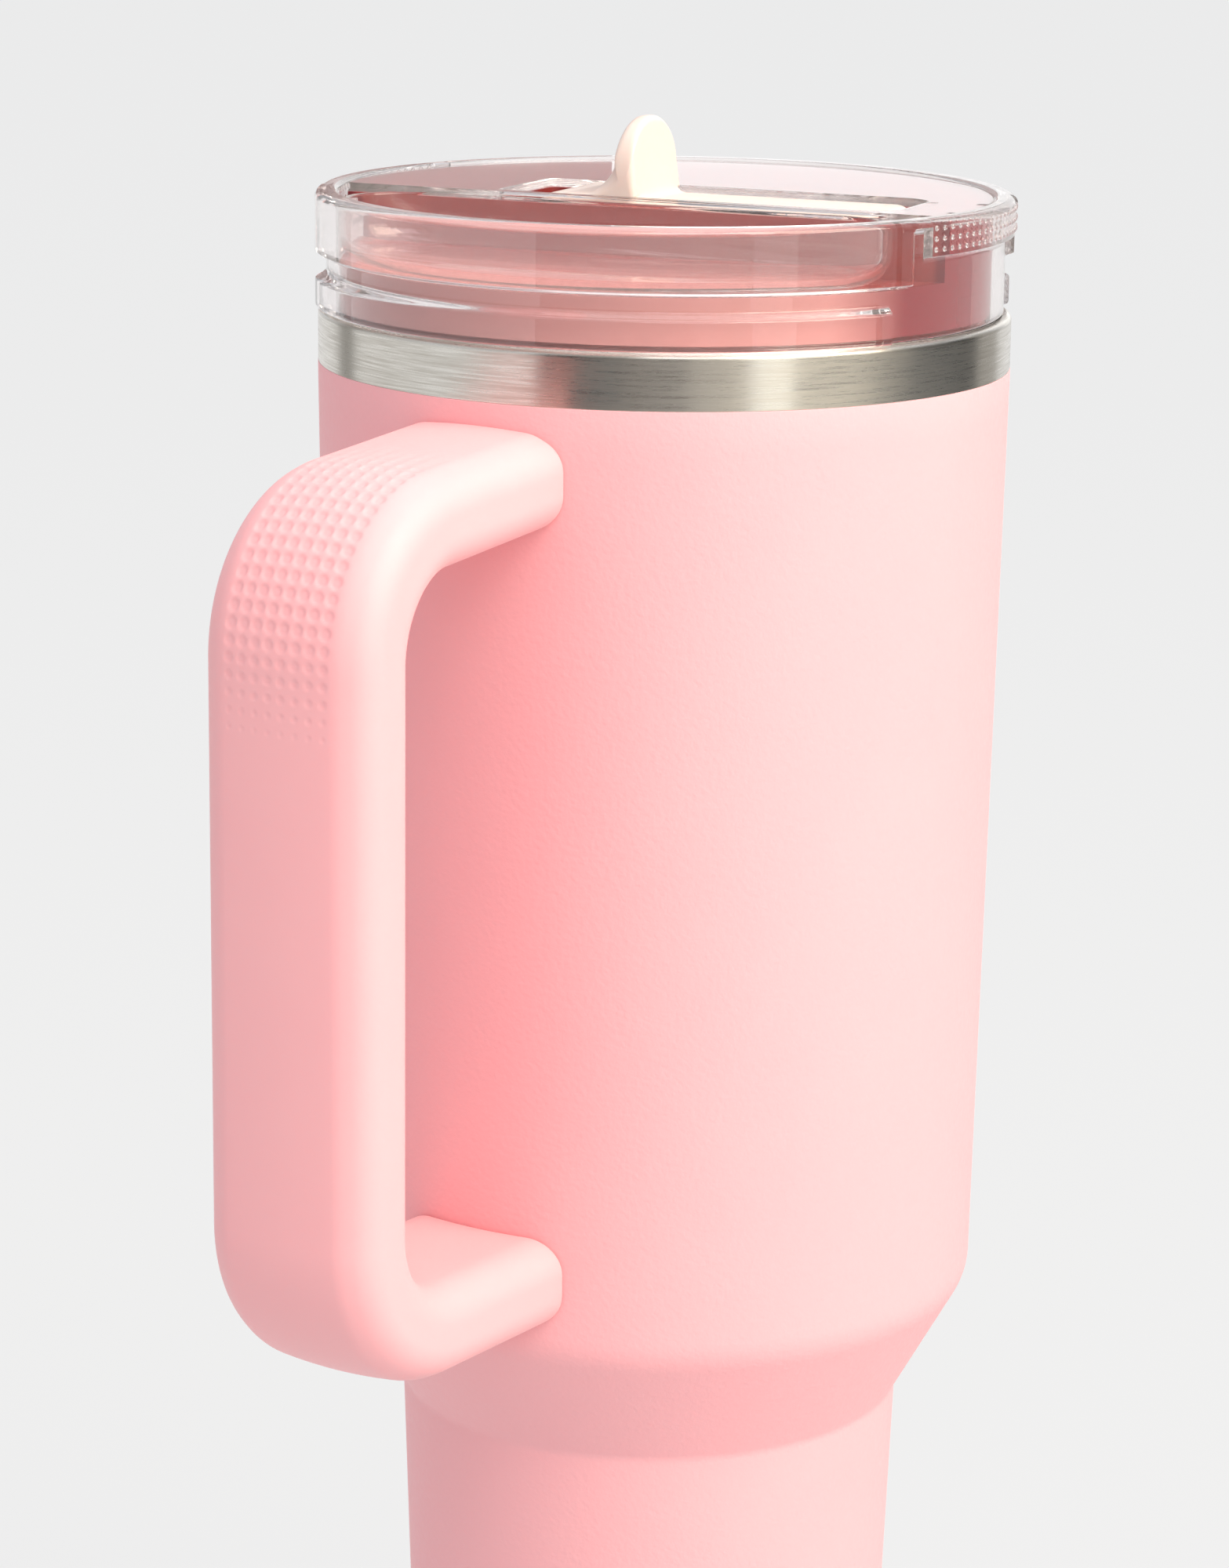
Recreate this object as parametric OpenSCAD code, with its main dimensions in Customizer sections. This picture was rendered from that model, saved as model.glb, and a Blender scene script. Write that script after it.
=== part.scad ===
// Insulated steel tumbler with a side handle and a clear flip-straw lid.
// Millimetres, +Z up. The origin is the centre of the flat face the tumbler stands on.
// The handle points along -X, and the straw's mouth end points to about -Y.

/* [Vessel] */
// Height of the lid's rim above the base
total_h = 266; // [260:1:280]
// Radius of the coated barrel under the bare neck band
barrel_top_r = 49.8; // [49.6:0.1:50]
// Radius of the barrel at its lower corner
barrel_low_r = 47.9; // [47.4:0.1:48.4]
// Height of the barrel's lower corner
corner_z = 106; // [104:1:108]
// Radius of the cup-holder tube at the crease
tube_top_r = 37.4; // [36.5:0.1:38]
// Height of the crease between shoulder and tube
crease_z = 87; // [84:1:88]
// Radius of the tube at the base
tube_low_r = 34.6; // [34:0.1:35.5]
// Thickness of the outer wall
wall = 0.6; // [0.5:0.1:0.9]
// Vacuum gap between the two walls, with the outer wall's thickness
liner_inset = 3.2; // [2.8:0.1:3.4]
// Height of the bare neck band
band_h = 7.7; // [7:0.1:8.4]

/* [Handle] */
// Distance from the tumbler's axis to the grip's outer face
handle_reach = 96.4; // [92:0.2:100]
// Width of the handle across its outer face
handle_w = 26.8; // [24:0.2:28]
// Thickness of the handle
handle_t = 13.8; // [13:0.1:15]
// Height of the upper arm's top face where it would meet the grip's outer face
handle_top_z = 235.2; // [233:0.2:236]
// Height of the lower arm's underside where it would meet the grip's outer face
handle_low_z = 111.8; // [111:0.2:114]
// Radius of the outer face around both bends
bend_r = 24.5; // [22:0.5:26]
// Angle at which the upper arm rises to the barrel
upper_rise = 4; // [2:0.5:5]
// Angle at which the lower arm falls to the barrel
lower_drop = 2.5; // [1:0.5:3]
// Thickness of the soft skin over the handle's core
skin_t = 1.8; // [1.4:0.1:2.2]

/* [Lid] */
// Outer radius of the clear lid
lid_r = 50.2; // [50:0.1:50.6]
// Height of the lid above the neck band
lid_h = 16.6; // [16:0.1:17]
// Angle of the lid past square to the handle
lid_turn = 8; // [0:1:12]
// Distance of the scoop's straight edge from the lid's axis
scoop_x = 11.2; // [11:0.1:12]
// Depth of the scoop's floor below the rim
scoop_depth = 8.1; // [7.6:0.1:8.2]

/* [Flip spout] */
// Half of the spout's width
spout_half_w = 8.5; // [8:0.1:8.6]
// Distance of the hinge behind the lid's axis
hinge_y = 13.5; // [13:0.1:14]
// Depth of the hinge's axis below the rim
hinge_depth = 7.6; // [7.5:0.1:7.8]
// Radius of the spout's hub
hub_r = 6.4; // [6.2:0.1:6.5]
// Distance of the mouth end in front of the lid's axis
mouth_y = 36.3; // [35:0.1:36.5]
// Height of the thumb tab above the rim
tab_h = 10.3; // [9.5:0.1:11]

/* [Straw] */
// Outer radius of the drinking straw
straw_r = 4; // [3.8:0.1:4.1]
// Height of the straw's lower end above the base
straw_low_z = 14; // [12:1:20]

/* [Hidden] */
$fn = 96;

pad_h = 1.5;
disc_t = 0.8;
disc_r = 32.2;
liner_t = 0.5;
liner_floor_z = 7.5;
lid_low_z = total_h - lid_h;
lid_gap = 0.2;
rim_z = lid_low_z - lid_gap;
coat_z = rim_z - band_h;
neck_r = 46.6;
neck_wall = 0.6;
neck_low_z = rim_z - 24;

pill_r = handle_t / 2;
grip_x = handle_reach - pill_r;
bend_c = bend_r - pill_r;
upper_bend_x = handle_reach - bend_r;
upper_bend_z = handle_top_z + bend_r * tan(upper_rise) - bend_r / cos(upper_rise);
lower_bend_z = handle_low_z - bend_r * tan(lower_drop) + bend_r / cos(lower_drop);
arm_len = upper_bend_x - 40;
screw_x = 62;
screw_r = 1.5;
screw_head_r = 2.9;
tongue_l = 20;
tongue_w = 12;
tongue_t = 4;

ring_in_r = 46.9;
core_r = 46.7;
deck_z = -0.4;
deck_t = 1.2;
floor_t = 1.2;
core_top_z = deck_z - deck_t - 0.1;
core_floor_z = -scoop_depth - floor_t - 0.1;
core_floor_t = 3;
core_low_z = -lid_h - 14.4;
plug_r = 45.2;
plug_in_r = 43.2;
gasket_top_z = -lid_h - 0.7;
gasket_h = 3;
groove_r = 43.9;
grip_half = 21;
relief_t = 0.45;
slot_half_w = spout_half_w + 0.8;
slot_front_y = mouth_y + 1.3;
slot_back_y = hinge_y + 8.6;
seal_t = 1.2;
seal_gap = 0.3;
pocket_r = hub_r + seal_gap + seal_t;
boss_low_z = -18;
pin_r = 1.5;
pin_gap = 0.05;
bar_top_z = -1.1;
bar_t = 7;
mouth_r = 2.6;
spigot_r = 4.6;
port_r = 3.2;
connector_low_z = -36;
vent_y = -10;

// The unit vector along v
function unit(v) = v / norm(v);

// The points of a fillet of radius r at corner b, between the lines to a and c
function fillet(a, b, c, r, n = 8) =
    let (u = unit(a - b),
         v = unit(c - b),
         half = acos(u * v) / 2,
         o = b + unit(u + v) * r / sin(half),
         s = b + u * r / tan(half) - o,
         e = b + v * r / tan(half) - o,
         a0 = atan2(s[1], s[0]),
         d = atan2(s[0] * e[1] - s[1] * e[0], s * e))
    [for (i = [0:n]) o + r * [cos(a0 + d * i / n), sin(a0 + d * i / n)]];

// A line through the corners, with a fillet of radius f[i] at each inner corner
function path(c, f) =
    let (k = len(c) - 1)
    [c[0], for (i = [1:k - 1]) each fillet(c[i - 1], c[i], c[i + 1], f[i - 1]), c[k]];

// The points in reverse order
function turned(p) = [for (i = [len(p) - 1:-1:0]) p[i]];

// Corners of the outer wall's surface, moved in by t
function wall_path(t) = path(
    [[disc_r, pad_h + t],
     [tube_low_r - t, pad_h + t],
     [tube_top_r - t, crease_z],
     [barrel_low_r - t, corner_z],
     [barrel_top_r - t, coat_z]],
    [2.2 - t, 3 + t, 9 - t]);

// Corners of the liner's surface, moved in by t
function liner_path(t) = path(
    [[0, liner_floor_z + t],
     [tube_low_r - liner_inset - t, liner_floor_z + t],
     [tube_top_r - liner_inset - t, crease_z + 1.2],
     [barrel_low_r - liner_inset - t, corner_z + 1.2],
     [barrel_top_r - liner_inset - 0.6 - t, neck_low_z - 8],
     [neck_r + neck_wall - t * neck_wall / liner_t, neck_low_z],
     [neck_r + neck_wall - t * neck_wall / liner_t, rim_z]],
    [8 - t, 4 + t, 9 - t, 12, 12]);

// Rectangle centred on the origin with round corners
module round_rect(w, h, r) {
    square([w - 2 * r, h], center = true);
    square([w, h - 2 * r], center = true);
    for (x = [-1, 1], y = [-1, 1])
        translate([x * (w / 2 - r), y * (h / 2 - r)])
            circle(r);
}

// A part of a ring between two radii and two heights, centred on an angle
module ring_sector(r0, r1, z0, z1, mid, half) {
    rotate([0, 0, mid - half])
        rotate_extrude(angle = 2 * half)
            translate([r0, z0])
                square([r1 - r0, z1 - z0]);
}

// A cylinder along X, centred on X = 0
module cross_rod(r, l) {
    rotate([0, 90, 0])
        cylinder(r = r, h = l, center = true);
}

// The lid's pieces are drawn about its axis with the rim at Z = 0
module on_lid() {
    translate([0, 0, total_h])
        rotate([0, 0, lid_turn])
            children();
}

module base_pad() {
    color([0.86, 0.55, 0.55])
        rotate_extrude()
            polygon(path([[0, 0], [31.6, 0], [31.6, pad_h], [0, pad_h]], [0.5, 0.3]));
}

module base_disc() {
    color([0.78, 0.78, 0.76])
        rotate_extrude()
            polygon([[0, pad_h + 2], [6.5, pad_h + 2], [8, pad_h], [disc_r, pad_h],
                     [disc_r, pad_h + disc_t], [8.6, pad_h + disc_t],
                     [7.1, pad_h + 2 + disc_t], [0, pad_h + 2 + disc_t]]);
}

module vacuum_seal() {
    color([0.7, 0.7, 0.7])
        translate([0, 0, pad_h + 1])
            cylinder(r = 5, h = 1);
}

module outer_shell() {
    color([0.98, 0.74, 0.73])
        rotate_extrude()
            polygon(concat(wall_path(0), turned(wall_path(wall))));
}

module neck_band() {
    color([0.72, 0.72, 0.69])
        rotate_extrude()
            polygon(concat(path([[barrel_top_r - wall, coat_z], [barrel_top_r, coat_z],
                                 [barrel_top_r, rim_z], [neck_r + neck_wall, rim_z]], [0.1, 0.8]),
                           [[neck_r + neck_wall, rim_z - wall],
                            [barrel_top_r - wall, rim_z - wall]]));
}

module inner_liner() {
    color([0.75, 0.75, 0.74])
        rotate_extrude()
            polygon(concat(liner_path(0), turned(liner_path(liner_t))));
}

// The barrel's outer surface with a small gap, for cutting what is fixed to it
module barrel_solid(gap) {
    translate([0, 0, corner_z])
        cylinder(r1 = barrel_low_r + gap, r2 = barrel_top_r + gap, h = coat_z - corner_z);
}

// The handle's outline section: thickness along X, width along Y
module pill(inset) {
    square([handle_t - 2 * inset, handle_w - handle_t], center = true);
    for (y = [-1, 1])
        translate([0, y * (handle_w - handle_t) / 2])
            circle(pill_r - inset);
}

// The section given as a child, carried along both arms, both bends and the grip
module handle_sweep() {
    translate([-grip_x, 0, lower_bend_z])
        linear_extrude(upper_bend_z - lower_bend_z)
            children();
    translate([-upper_bend_x, 0, upper_bend_z]) {
        rotate([90, 0, 0])
            rotate([0, 0, 90 + upper_rise])
                rotate_extrude(angle = 90 - upper_rise)
                    translate([bend_c, 0])
                        children();
        rotate([0, -upper_rise, 0])
            translate([0, 0, bend_c])
                rotate([0, 90, 0])
                    linear_extrude(arm_len)
                        children();
    }
    translate([-upper_bend_x, 0, lower_bend_z]) {
        rotate([90, 0, 0])
            rotate([0, 0, 180])
                rotate_extrude(angle = 90 - lower_drop)
                    translate([bend_c, 0])
                        children();
        rotate([0, lower_drop, 0])
            translate([0, 0, -bend_c])
                rotate([0, 90, 0])
                    linear_extrude(arm_len)
                        children();
    }
}

// Places its children on the centre line of one arm at the screw, +Z away from the arm's underside
module at_screw(upper) {
    rise = upper ? upper_rise : -lower_drop;
    bend_z = upper ? upper_bend_z : lower_bend_z;
    off = upper ? bend_c : -bend_c;
    translate([-upper_bend_x, 0, bend_z])
        rotate([0, -rise, 0])
            translate([upper_bend_x - screw_x, 0, off])
                children();
}

// A welded bracket: a foot on the barrel and a tongue inside the arm
module bracket(upper) {
    difference() {
        at_screw(upper) {
            translate([-8, -tongue_w / 2, -tongue_t / 2])
                cube([tongue_l, tongue_w, tongue_t]);
            translate([8, -8, -4])
                cube([8, 16, 8]);
        }
        barrel_solid(0.02);
        at_screw(upper)
            translate([0, 0, -handle_t])
                cylinder(r = screw_r, h = 2 * handle_t);
    }
}

module upper_bracket() {
    color([0.7, 0.7, 0.7])
        bracket(true);
}

module lower_bracket() {
    color([0.7, 0.7, 0.7])
        bracket(false);
}

module handle_core() {
    color([0.9, 0.65, 0.65])
        difference() {
            handle_sweep()
                pill(skin_t);
            barrel_solid(0.2);
            for (upper = [true, false])
                at_screw(upper) {
                    translate([-8.1, -tongue_w / 2 - 0.1, -tongue_t / 2 - 0.1])
                        cube([30, tongue_w + 0.2, tongue_t + 0.2]);
                    translate([7.9, -8.1, -4.1])
                        cube([20, 16.2, 8.2]);
                    translate([0, 0, -handle_t])
                        cylinder(r = screw_head_r + 0.1, h = handle_t - 3.8);
                    translate([0, 0, -handle_t])
                        cylinder(r = screw_r + 0.05, h = handle_t + 2.5);
                }
        }
}

module handle_skin() {
    color([1, 0.82, 0.8])
        difference() {
            handle_sweep()
                difference() {
                    pill(0);
                    pill(skin_t);
                }
            barrel_solid(0.1);
            for (upper = [true, false])
                at_screw(upper)
                    translate([0, 0, -handle_t])
                        cylinder(r = screw_head_r + 0.1, h = handle_t - 3.8);
        }
}

module handle_screws() {
    color([0.6, 0.6, 0.6])
        for (upper = [true, false])
            at_screw(upper)
                difference() {
                    union() {
                        translate([0, 0, -5.8])
                            cylinder(r = screw_head_r, h = 2);
                        translate([0, 0, -5])
                            cylinder(r = screw_r, h = 7);
                    }
                    translate([0, 0, -6])
                        cylinder(r = 1.3, h = 1.4, $fn = 6);
                }
}

// A silicone ring with two lips that seal against the neck
module lid_gasket() {
    lip_r = neck_r - 0.3;
    color([0.93, 0.72, 0.72])
        on_lid()
            translate([0, 0, gasket_top_z - 0.1])
                rotate_extrude()
                    polygon([[groove_r + 0.05, 0], [45, 0], [lip_r, -0.5], [lip_r, -0.9],
                             [45, -1.2], [45, -1.6], [lip_r, -2.1], [lip_r, -2.5],
                             [45, -2.8], [groove_r + 0.05, -2.8]]);
}

// The plan outline of the slot that the spout lies in
module slot_plan(grow) {
    y0 = -slot_front_y - grow;
    y1 = slot_back_y + grow;
    translate([0, (y0 + y1) / 2])
        round_rect(2 * (slot_half_w + grow), y1 - y0, 5);
    translate([0, y1 - 9])
        round_rect(2 * (slot_half_w + grow), 18, 1.6);
}

// The scoop in front of the bridge: everything inside radius r beyond the straight edge
module scoop_solid(r, edge, z0, z1) {
    translate([0, 0, z0])
        intersection() {
            cylinder(r = r, h = z1 - z0);
            translate([-2 * r - edge, -r, 0])
                cube([2 * r, 2 * r, z1 - z0]);
        }
}

module lid_shell() {
    color([0.95, 0.88, 0.88, 0.35])
        on_lid() {
            difference() {
                rotate_extrude()
                    polygon(path([[ring_in_r, -lid_h], [lid_r - 0.2, -lid_h], [lid_r, -lid_h + 0.6],
                                  [lid_r, 0], [ring_in_r, 0], [ring_in_r, -lid_h + 0.1]],
                                 [0.2, 0.3, 1.1, 0.8]));
                for (mid = [0, 180])
                    ring_sector(48.4, 51, -11.3, -8.8, mid, 63);
                for (mid = [90, 270]) {
                    ring_sector(lid_r - relief_t, 52, -lid_h - 1, -5.4, mid, 29);
                    for (side = [-1, 1])
                        ring_sector(48.4, 51, -8.9, -1.6, mid + side * (grip_half + 2), 2);
                }
            }
            difference() {
                translate([0, 0, deck_z - deck_t])
                    cylinder(r = ring_in_r + 0.4, h = deck_t);
                scoop_solid(ring_in_r, scoop_x, -5, 1);
                translate([0, 0, -5])
                    linear_extrude(6)
                        slot_plan(0);
            }
            scoop_solid(ring_in_r + 0.4, scoop_x, -scoop_depth - floor_t, -scoop_depth);
        }
}

module lid_core() {
    pocket_x = scoop_x + 0.1;
    color([0.75, 0.32, 0.33, 0.8])
        on_lid()
            difference() {
                union() {
                    difference() {
                        translate([0, 0, -lid_h + 0.6])
                            cylinder(r = core_r, h = core_top_z + lid_h - 0.6);
                        scoop_solid(core_r + 1, scoop_x - 0.1, core_floor_z, 1);
                        translate([0, 0, core_floor_z])
                            linear_extrude(20)
                                slot_plan(0);
                        scoop_solid(plug_in_r, -pocket_x, -lid_h, core_floor_z - core_floor_t);
                    }
                    translate([0, 0, core_low_z])
                        difference() {
                            cylinder(r = plug_r, h = -lid_h + 0.7 - core_low_z);
                            translate([0, 0, -1])
                                cylinder(r = plug_in_r, h = 40);
                        }
                    translate([-slot_half_w - 2, hinge_y - pocket_r - 1.2, boss_low_z])
                        cube([2 * slot_half_w + 4, 2 * pocket_r + 2.4,
                              core_floor_z - core_floor_t - boss_low_z + 0.5]);
                    translate([0, hinge_y, boss_low_z - 7])
                        cylinder(r = spigot_r, h = 8);
                    for (a = [30, 150, 270])
                        ring_sector(plug_r - 0.5, neck_r - 0.4, -lid_h - 8, -lid_h - 5.5, a, 35);
                }
                difference() {
                    translate([0, 0, -lid_h - 1])
                        cylinder(r = plug_in_r, h = core_top_z + lid_h - 1);
                    translate([-60 + pocket_x, -60, -60])
                        cube([60, 120, 120]);
                }
                translate([0, 0, gasket_top_z - gasket_h])
                    difference() {
                        cylinder(r = plug_r + 3, h = gasket_h);
                        cylinder(r = groove_r, h = gasket_h);
                    }
                translate([0, hinge_y, -hinge_depth]) {
                    cross_rod(pocket_r, 2 * slot_half_w);
                    cross_rod(pin_r, 22);
                }
                translate([0, hinge_y, -40])
                    cylinder(r = port_r, h = 34);
                translate([0, vent_y, -40])
                    cylinder(r = 1.3, h = 38);
            }
}

// A curved silicone pad between the hub and its pocket, with the flow port in it
module spout_seal() {
    color([0.93, 0.9, 0.86])
        on_lid()
            translate([0, hinge_y, -hinge_depth])
                difference() {
                    rotate([0, 90, 0])
                        rotate([0, 0, -65])
                            translate([0, 0, -7.5])
                                rotate_extrude(angle = 130)
                                    translate([hub_r + seal_gap, 0])
                                        square([seal_t, 15]);
                    translate([0, 0, -20])
                        cylinder(r = port_r, h = 20);
                }
}

module hinge_pins() {
    color([0.7, 0.7, 0.7])
        on_lid()
            for (side = [-1, 1])
                translate([side * 8.2, hinge_y, -hinge_depth])
                    cross_rod(pin_r, 5.4);
}

// An umbrella valve under the lid's floor, hidden by the spout
module vent_valve() {
    color([0.93, 0.9, 0.86])
        on_lid()
            translate([0, vent_y, core_floor_z - core_floor_t]) {
                translate([0, 0, -1.2])
                    cylinder(r1 = 3.6, r2 = 4.6, h = 1.15);
                translate([0, 0, -0.5])
                    cylinder(r = 1.2, h = 3);
            }
}

module straw_connector() {
    color([0.93, 0.9, 0.86])
        on_lid()
            translate([0, hinge_y, 0])
                rotate_extrude()
                    polygon([[straw_r + 0.02, connector_low_z], [6.2, connector_low_z],
                             [6.6, connector_low_z + 0.6], [6.6, boss_low_z - 0.6],
                             [6.2, boss_low_z - 0.1], [spigot_r + 0.02, boss_low_z - 0.1],
                             [spigot_r + 0.02, boss_low_z - 7.1], [straw_r - 0.6, boss_low_z - 7.1],
                             [straw_r - 0.6, boss_low_z - 8], [straw_r + 0.02, boss_low_z - 8]]);
}

module drinking_straw() {
    low = straw_low_z - total_h;
    color([0.97, 0.93, 0.9, 0.7])
        on_lid()
            translate([0, hinge_y, 0])
                difference() {
                    translate([0, 0, low])
                        cylinder(r = straw_r, h = boss_low_z - 8.1 - low);
                    translate([0, 0, low - 1])
                        cylinder(r = straw_r - 0.7, h = 300);
                    translate([-10, -10, low - 12])
                        rotate([20, 0, 0])
                            translate([0, 0, -8])
                                cube([20, 30, 16]);
                }
}

// The thumb tab: an upright paddle with a concave back
module thumb_tab() {
    top = tab_h;
    base = bar_top_z - 1.5;
    intersection() {
        rotate([90, 0, 90])
            translate([0, 0, -10])
                linear_extrude(20)
                    difference() {
                        polygon([[1.9, base], [8.6, base], [8.6, 0], [4.6, top], [2.6, top], [1.9, top - 1]]);
                        translate([14.6, 8])
                            circle(9.9);
                    }
        rotate([90, 0, 0])
            translate([0, 0, -12])
                linear_extrude(24) {
                    translate([-spout_half_w, base])
                        square([2 * spout_half_w, top - base - 8]);
                    for (x = [-1, 1])
                        translate([x * (spout_half_w - 8), top - 8])
                            circle(8);
                    translate([-(spout_half_w - 8), top - 8])
                        square([2 * (spout_half_w - 8), 8]);
                }
    }
}

module flip_spout() {
    bar_l = mouth_y + hinge_y;
    color([0.98, 0.93, 0.88])
        on_lid()
            difference() {
                union() {
                    intersection() {
                        translate([0, (hinge_y - mouth_y) / 2, -20])
                            linear_extrude(20)
                                round_rect(2 * spout_half_w, bar_l, 5.6);
                        translate([0, hinge_y, bar_top_z - bar_t / 2])
                            rotate([90, 0, 0])
                                linear_extrude(bar_l + 1)
                                    round_rect(2 * spout_half_w, bar_t, 2.4);
                    }
                    translate([0, hinge_y, -hinge_depth])
                        cross_rod(hub_r, 2 * spout_half_w);
                    thumb_tab();
                }
                translate([0, hinge_y - 5, bar_top_z - bar_t / 2])
                    rotate([90, 0, 0])
                        cylinder(r = mouth_r, h = bar_l + 5);
                translate([0, hinge_y + 10, -hinge_depth])
                    rotate([90, 0, 0])
                        cylinder(r = 2.4, h = 16);
                for (side = [-1, 1])
                    translate([side * 8.5, hinge_y, -hinge_depth])
                        cross_rod(pin_r + pin_gap, 6.4);
            }
}

module hub_washers() {
    color([0.93, 0.9, 0.86])
        on_lid()
            for (side = [-1, 1])
                translate([side * (spout_half_w + 0.35), hinge_y, -hinge_depth])
                    difference() {
                        cross_rod(4, 0.7);
                        cross_rod(pin_r + pin_gap, 2);
                    }
}

base_pad();
base_disc();
vacuum_seal();
outer_shell();
neck_band();
inner_liner();
upper_bracket();
lower_bracket();
handle_core();
handle_skin();
handle_screws();
lid_gasket();
lid_shell();
lid_core();
spout_seal();
hinge_pins();
vent_valve();
straw_connector();
drinking_straw();
flip_spout();
hub_washers();
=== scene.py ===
"""Insulated tumbler with a handle and a flip-spout lid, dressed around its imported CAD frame.

Lengths are millimetres inside the shape formulas and metres in the meshes. Every piece lies in the
part's frame: +Z up, the base's flat face at Z = 0, the handle toward -X.
"""

from __future__ import annotations

import logging
import math
from dataclasses import dataclass
from enum import Enum
from typing import Any, Callable, Sequence

import bmesh
import bpy
import numpy as np
from mathutils import Matrix, Vector


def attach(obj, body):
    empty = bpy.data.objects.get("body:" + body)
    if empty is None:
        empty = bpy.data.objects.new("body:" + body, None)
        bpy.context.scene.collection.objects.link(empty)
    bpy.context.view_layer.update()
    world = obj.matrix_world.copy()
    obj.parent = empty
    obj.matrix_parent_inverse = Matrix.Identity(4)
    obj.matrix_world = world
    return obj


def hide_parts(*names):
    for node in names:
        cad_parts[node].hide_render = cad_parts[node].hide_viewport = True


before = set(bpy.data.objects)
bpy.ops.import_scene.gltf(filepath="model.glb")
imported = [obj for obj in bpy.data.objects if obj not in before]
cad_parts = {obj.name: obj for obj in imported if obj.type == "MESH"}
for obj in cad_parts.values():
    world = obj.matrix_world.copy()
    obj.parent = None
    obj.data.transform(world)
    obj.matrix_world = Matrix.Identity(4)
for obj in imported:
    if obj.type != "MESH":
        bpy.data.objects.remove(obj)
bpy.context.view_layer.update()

MM = 0.001
# Width of the clouds in which a finish varies between its two tones
CLOUD_MM = 18.0
LOG = logging.getLogger("tumbler")


class Body(Enum):
    """The bodies that new pieces ride on."""

    VESSEL = "vessel"
    LID = "lid"
    SPOUT = "spout"


class Slot(Enum):
    """The record's material slots, one listed for each new piece; place() is handed one but does not use
    it.
    """

    COAT = "powder_coat"
    NECK = "brushed_neck"
    STEEL = "stainless"
    GRIP = "handle_skin"
    PAD = "non_slip_pad"
    CLEAR = "clear_lid"
    SPOUT = "spout"


# ---------------------------------------------------------------- nodes and colours


def linear(hex_text: str) -> tuple[float, float, float, float]:
    """Turns an sRGB hex colour to linear light.

    Args:
        hex_text: six hex digits.

    Returns:
        Linear red, green and blue, and an alpha of 1.
    """
    s = np.array([int(hex_text[i : i + 2], 16) / 255 for i in (0, 2, 4)])
    rgb = np.where(s <= 0.04045, s / 12.92, ((s + 0.055) / 1.055) ** 2.4)
    return (*rgb.tolist(), 1.0)


def add_node(
    tree: bpy.types.NodeTree,
    kind: str,
    settings: dict[str, Any] | None = None,
    inputs: dict[Any, Any] | None = None,
) -> bpy.types.Node:
    """Adds one node with its settings, socket values and links.

    Args:
        tree: the node tree it goes into.
        kind: the node's type without its ShaderNode prefix.
        settings: attributes of the node.
        inputs: a value, or an output socket to link, for each named input.

    Returns:
        The new node.
    """
    node = tree.nodes.new("ShaderNode" + kind)
    for name, value in (settings or {}).items():
        setattr(node, name, value)
    for socket, value in (inputs or {}).items():
        if isinstance(value, bpy.types.NodeSocket):
            tree.links.new(value, node.inputs[socket])
        else:
            node.inputs[socket].default_value = value
    return node


def per_metre(size_mm: float) -> float:
    """Gives the texture scale whose features are about size_mm wide in Object coordinates."""
    return 1.0 / (size_mm * MM)


def node_material(name: str, build: Callable[[bpy.types.NodeTree], bpy.types.Node]) -> bpy.types.Material:
    """Makes a material whose surface is the node that `build` adds.

    Args:
        name: the material's name.
        build: adds the nodes to a tree and returns the shader.

    Returns:
        The new material.
    """
    made = bpy.data.materials.new(name)
    made.use_nodes = True
    tree = made.node_tree
    tree.nodes.clear()
    shader = build(tree)
    out = add_node(tree, "OutputMaterial")
    tree.links.new(shader.outputs[0], out.inputs["Surface"])
    return made


# ---------------------------------------------------------------- finishes


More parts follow.
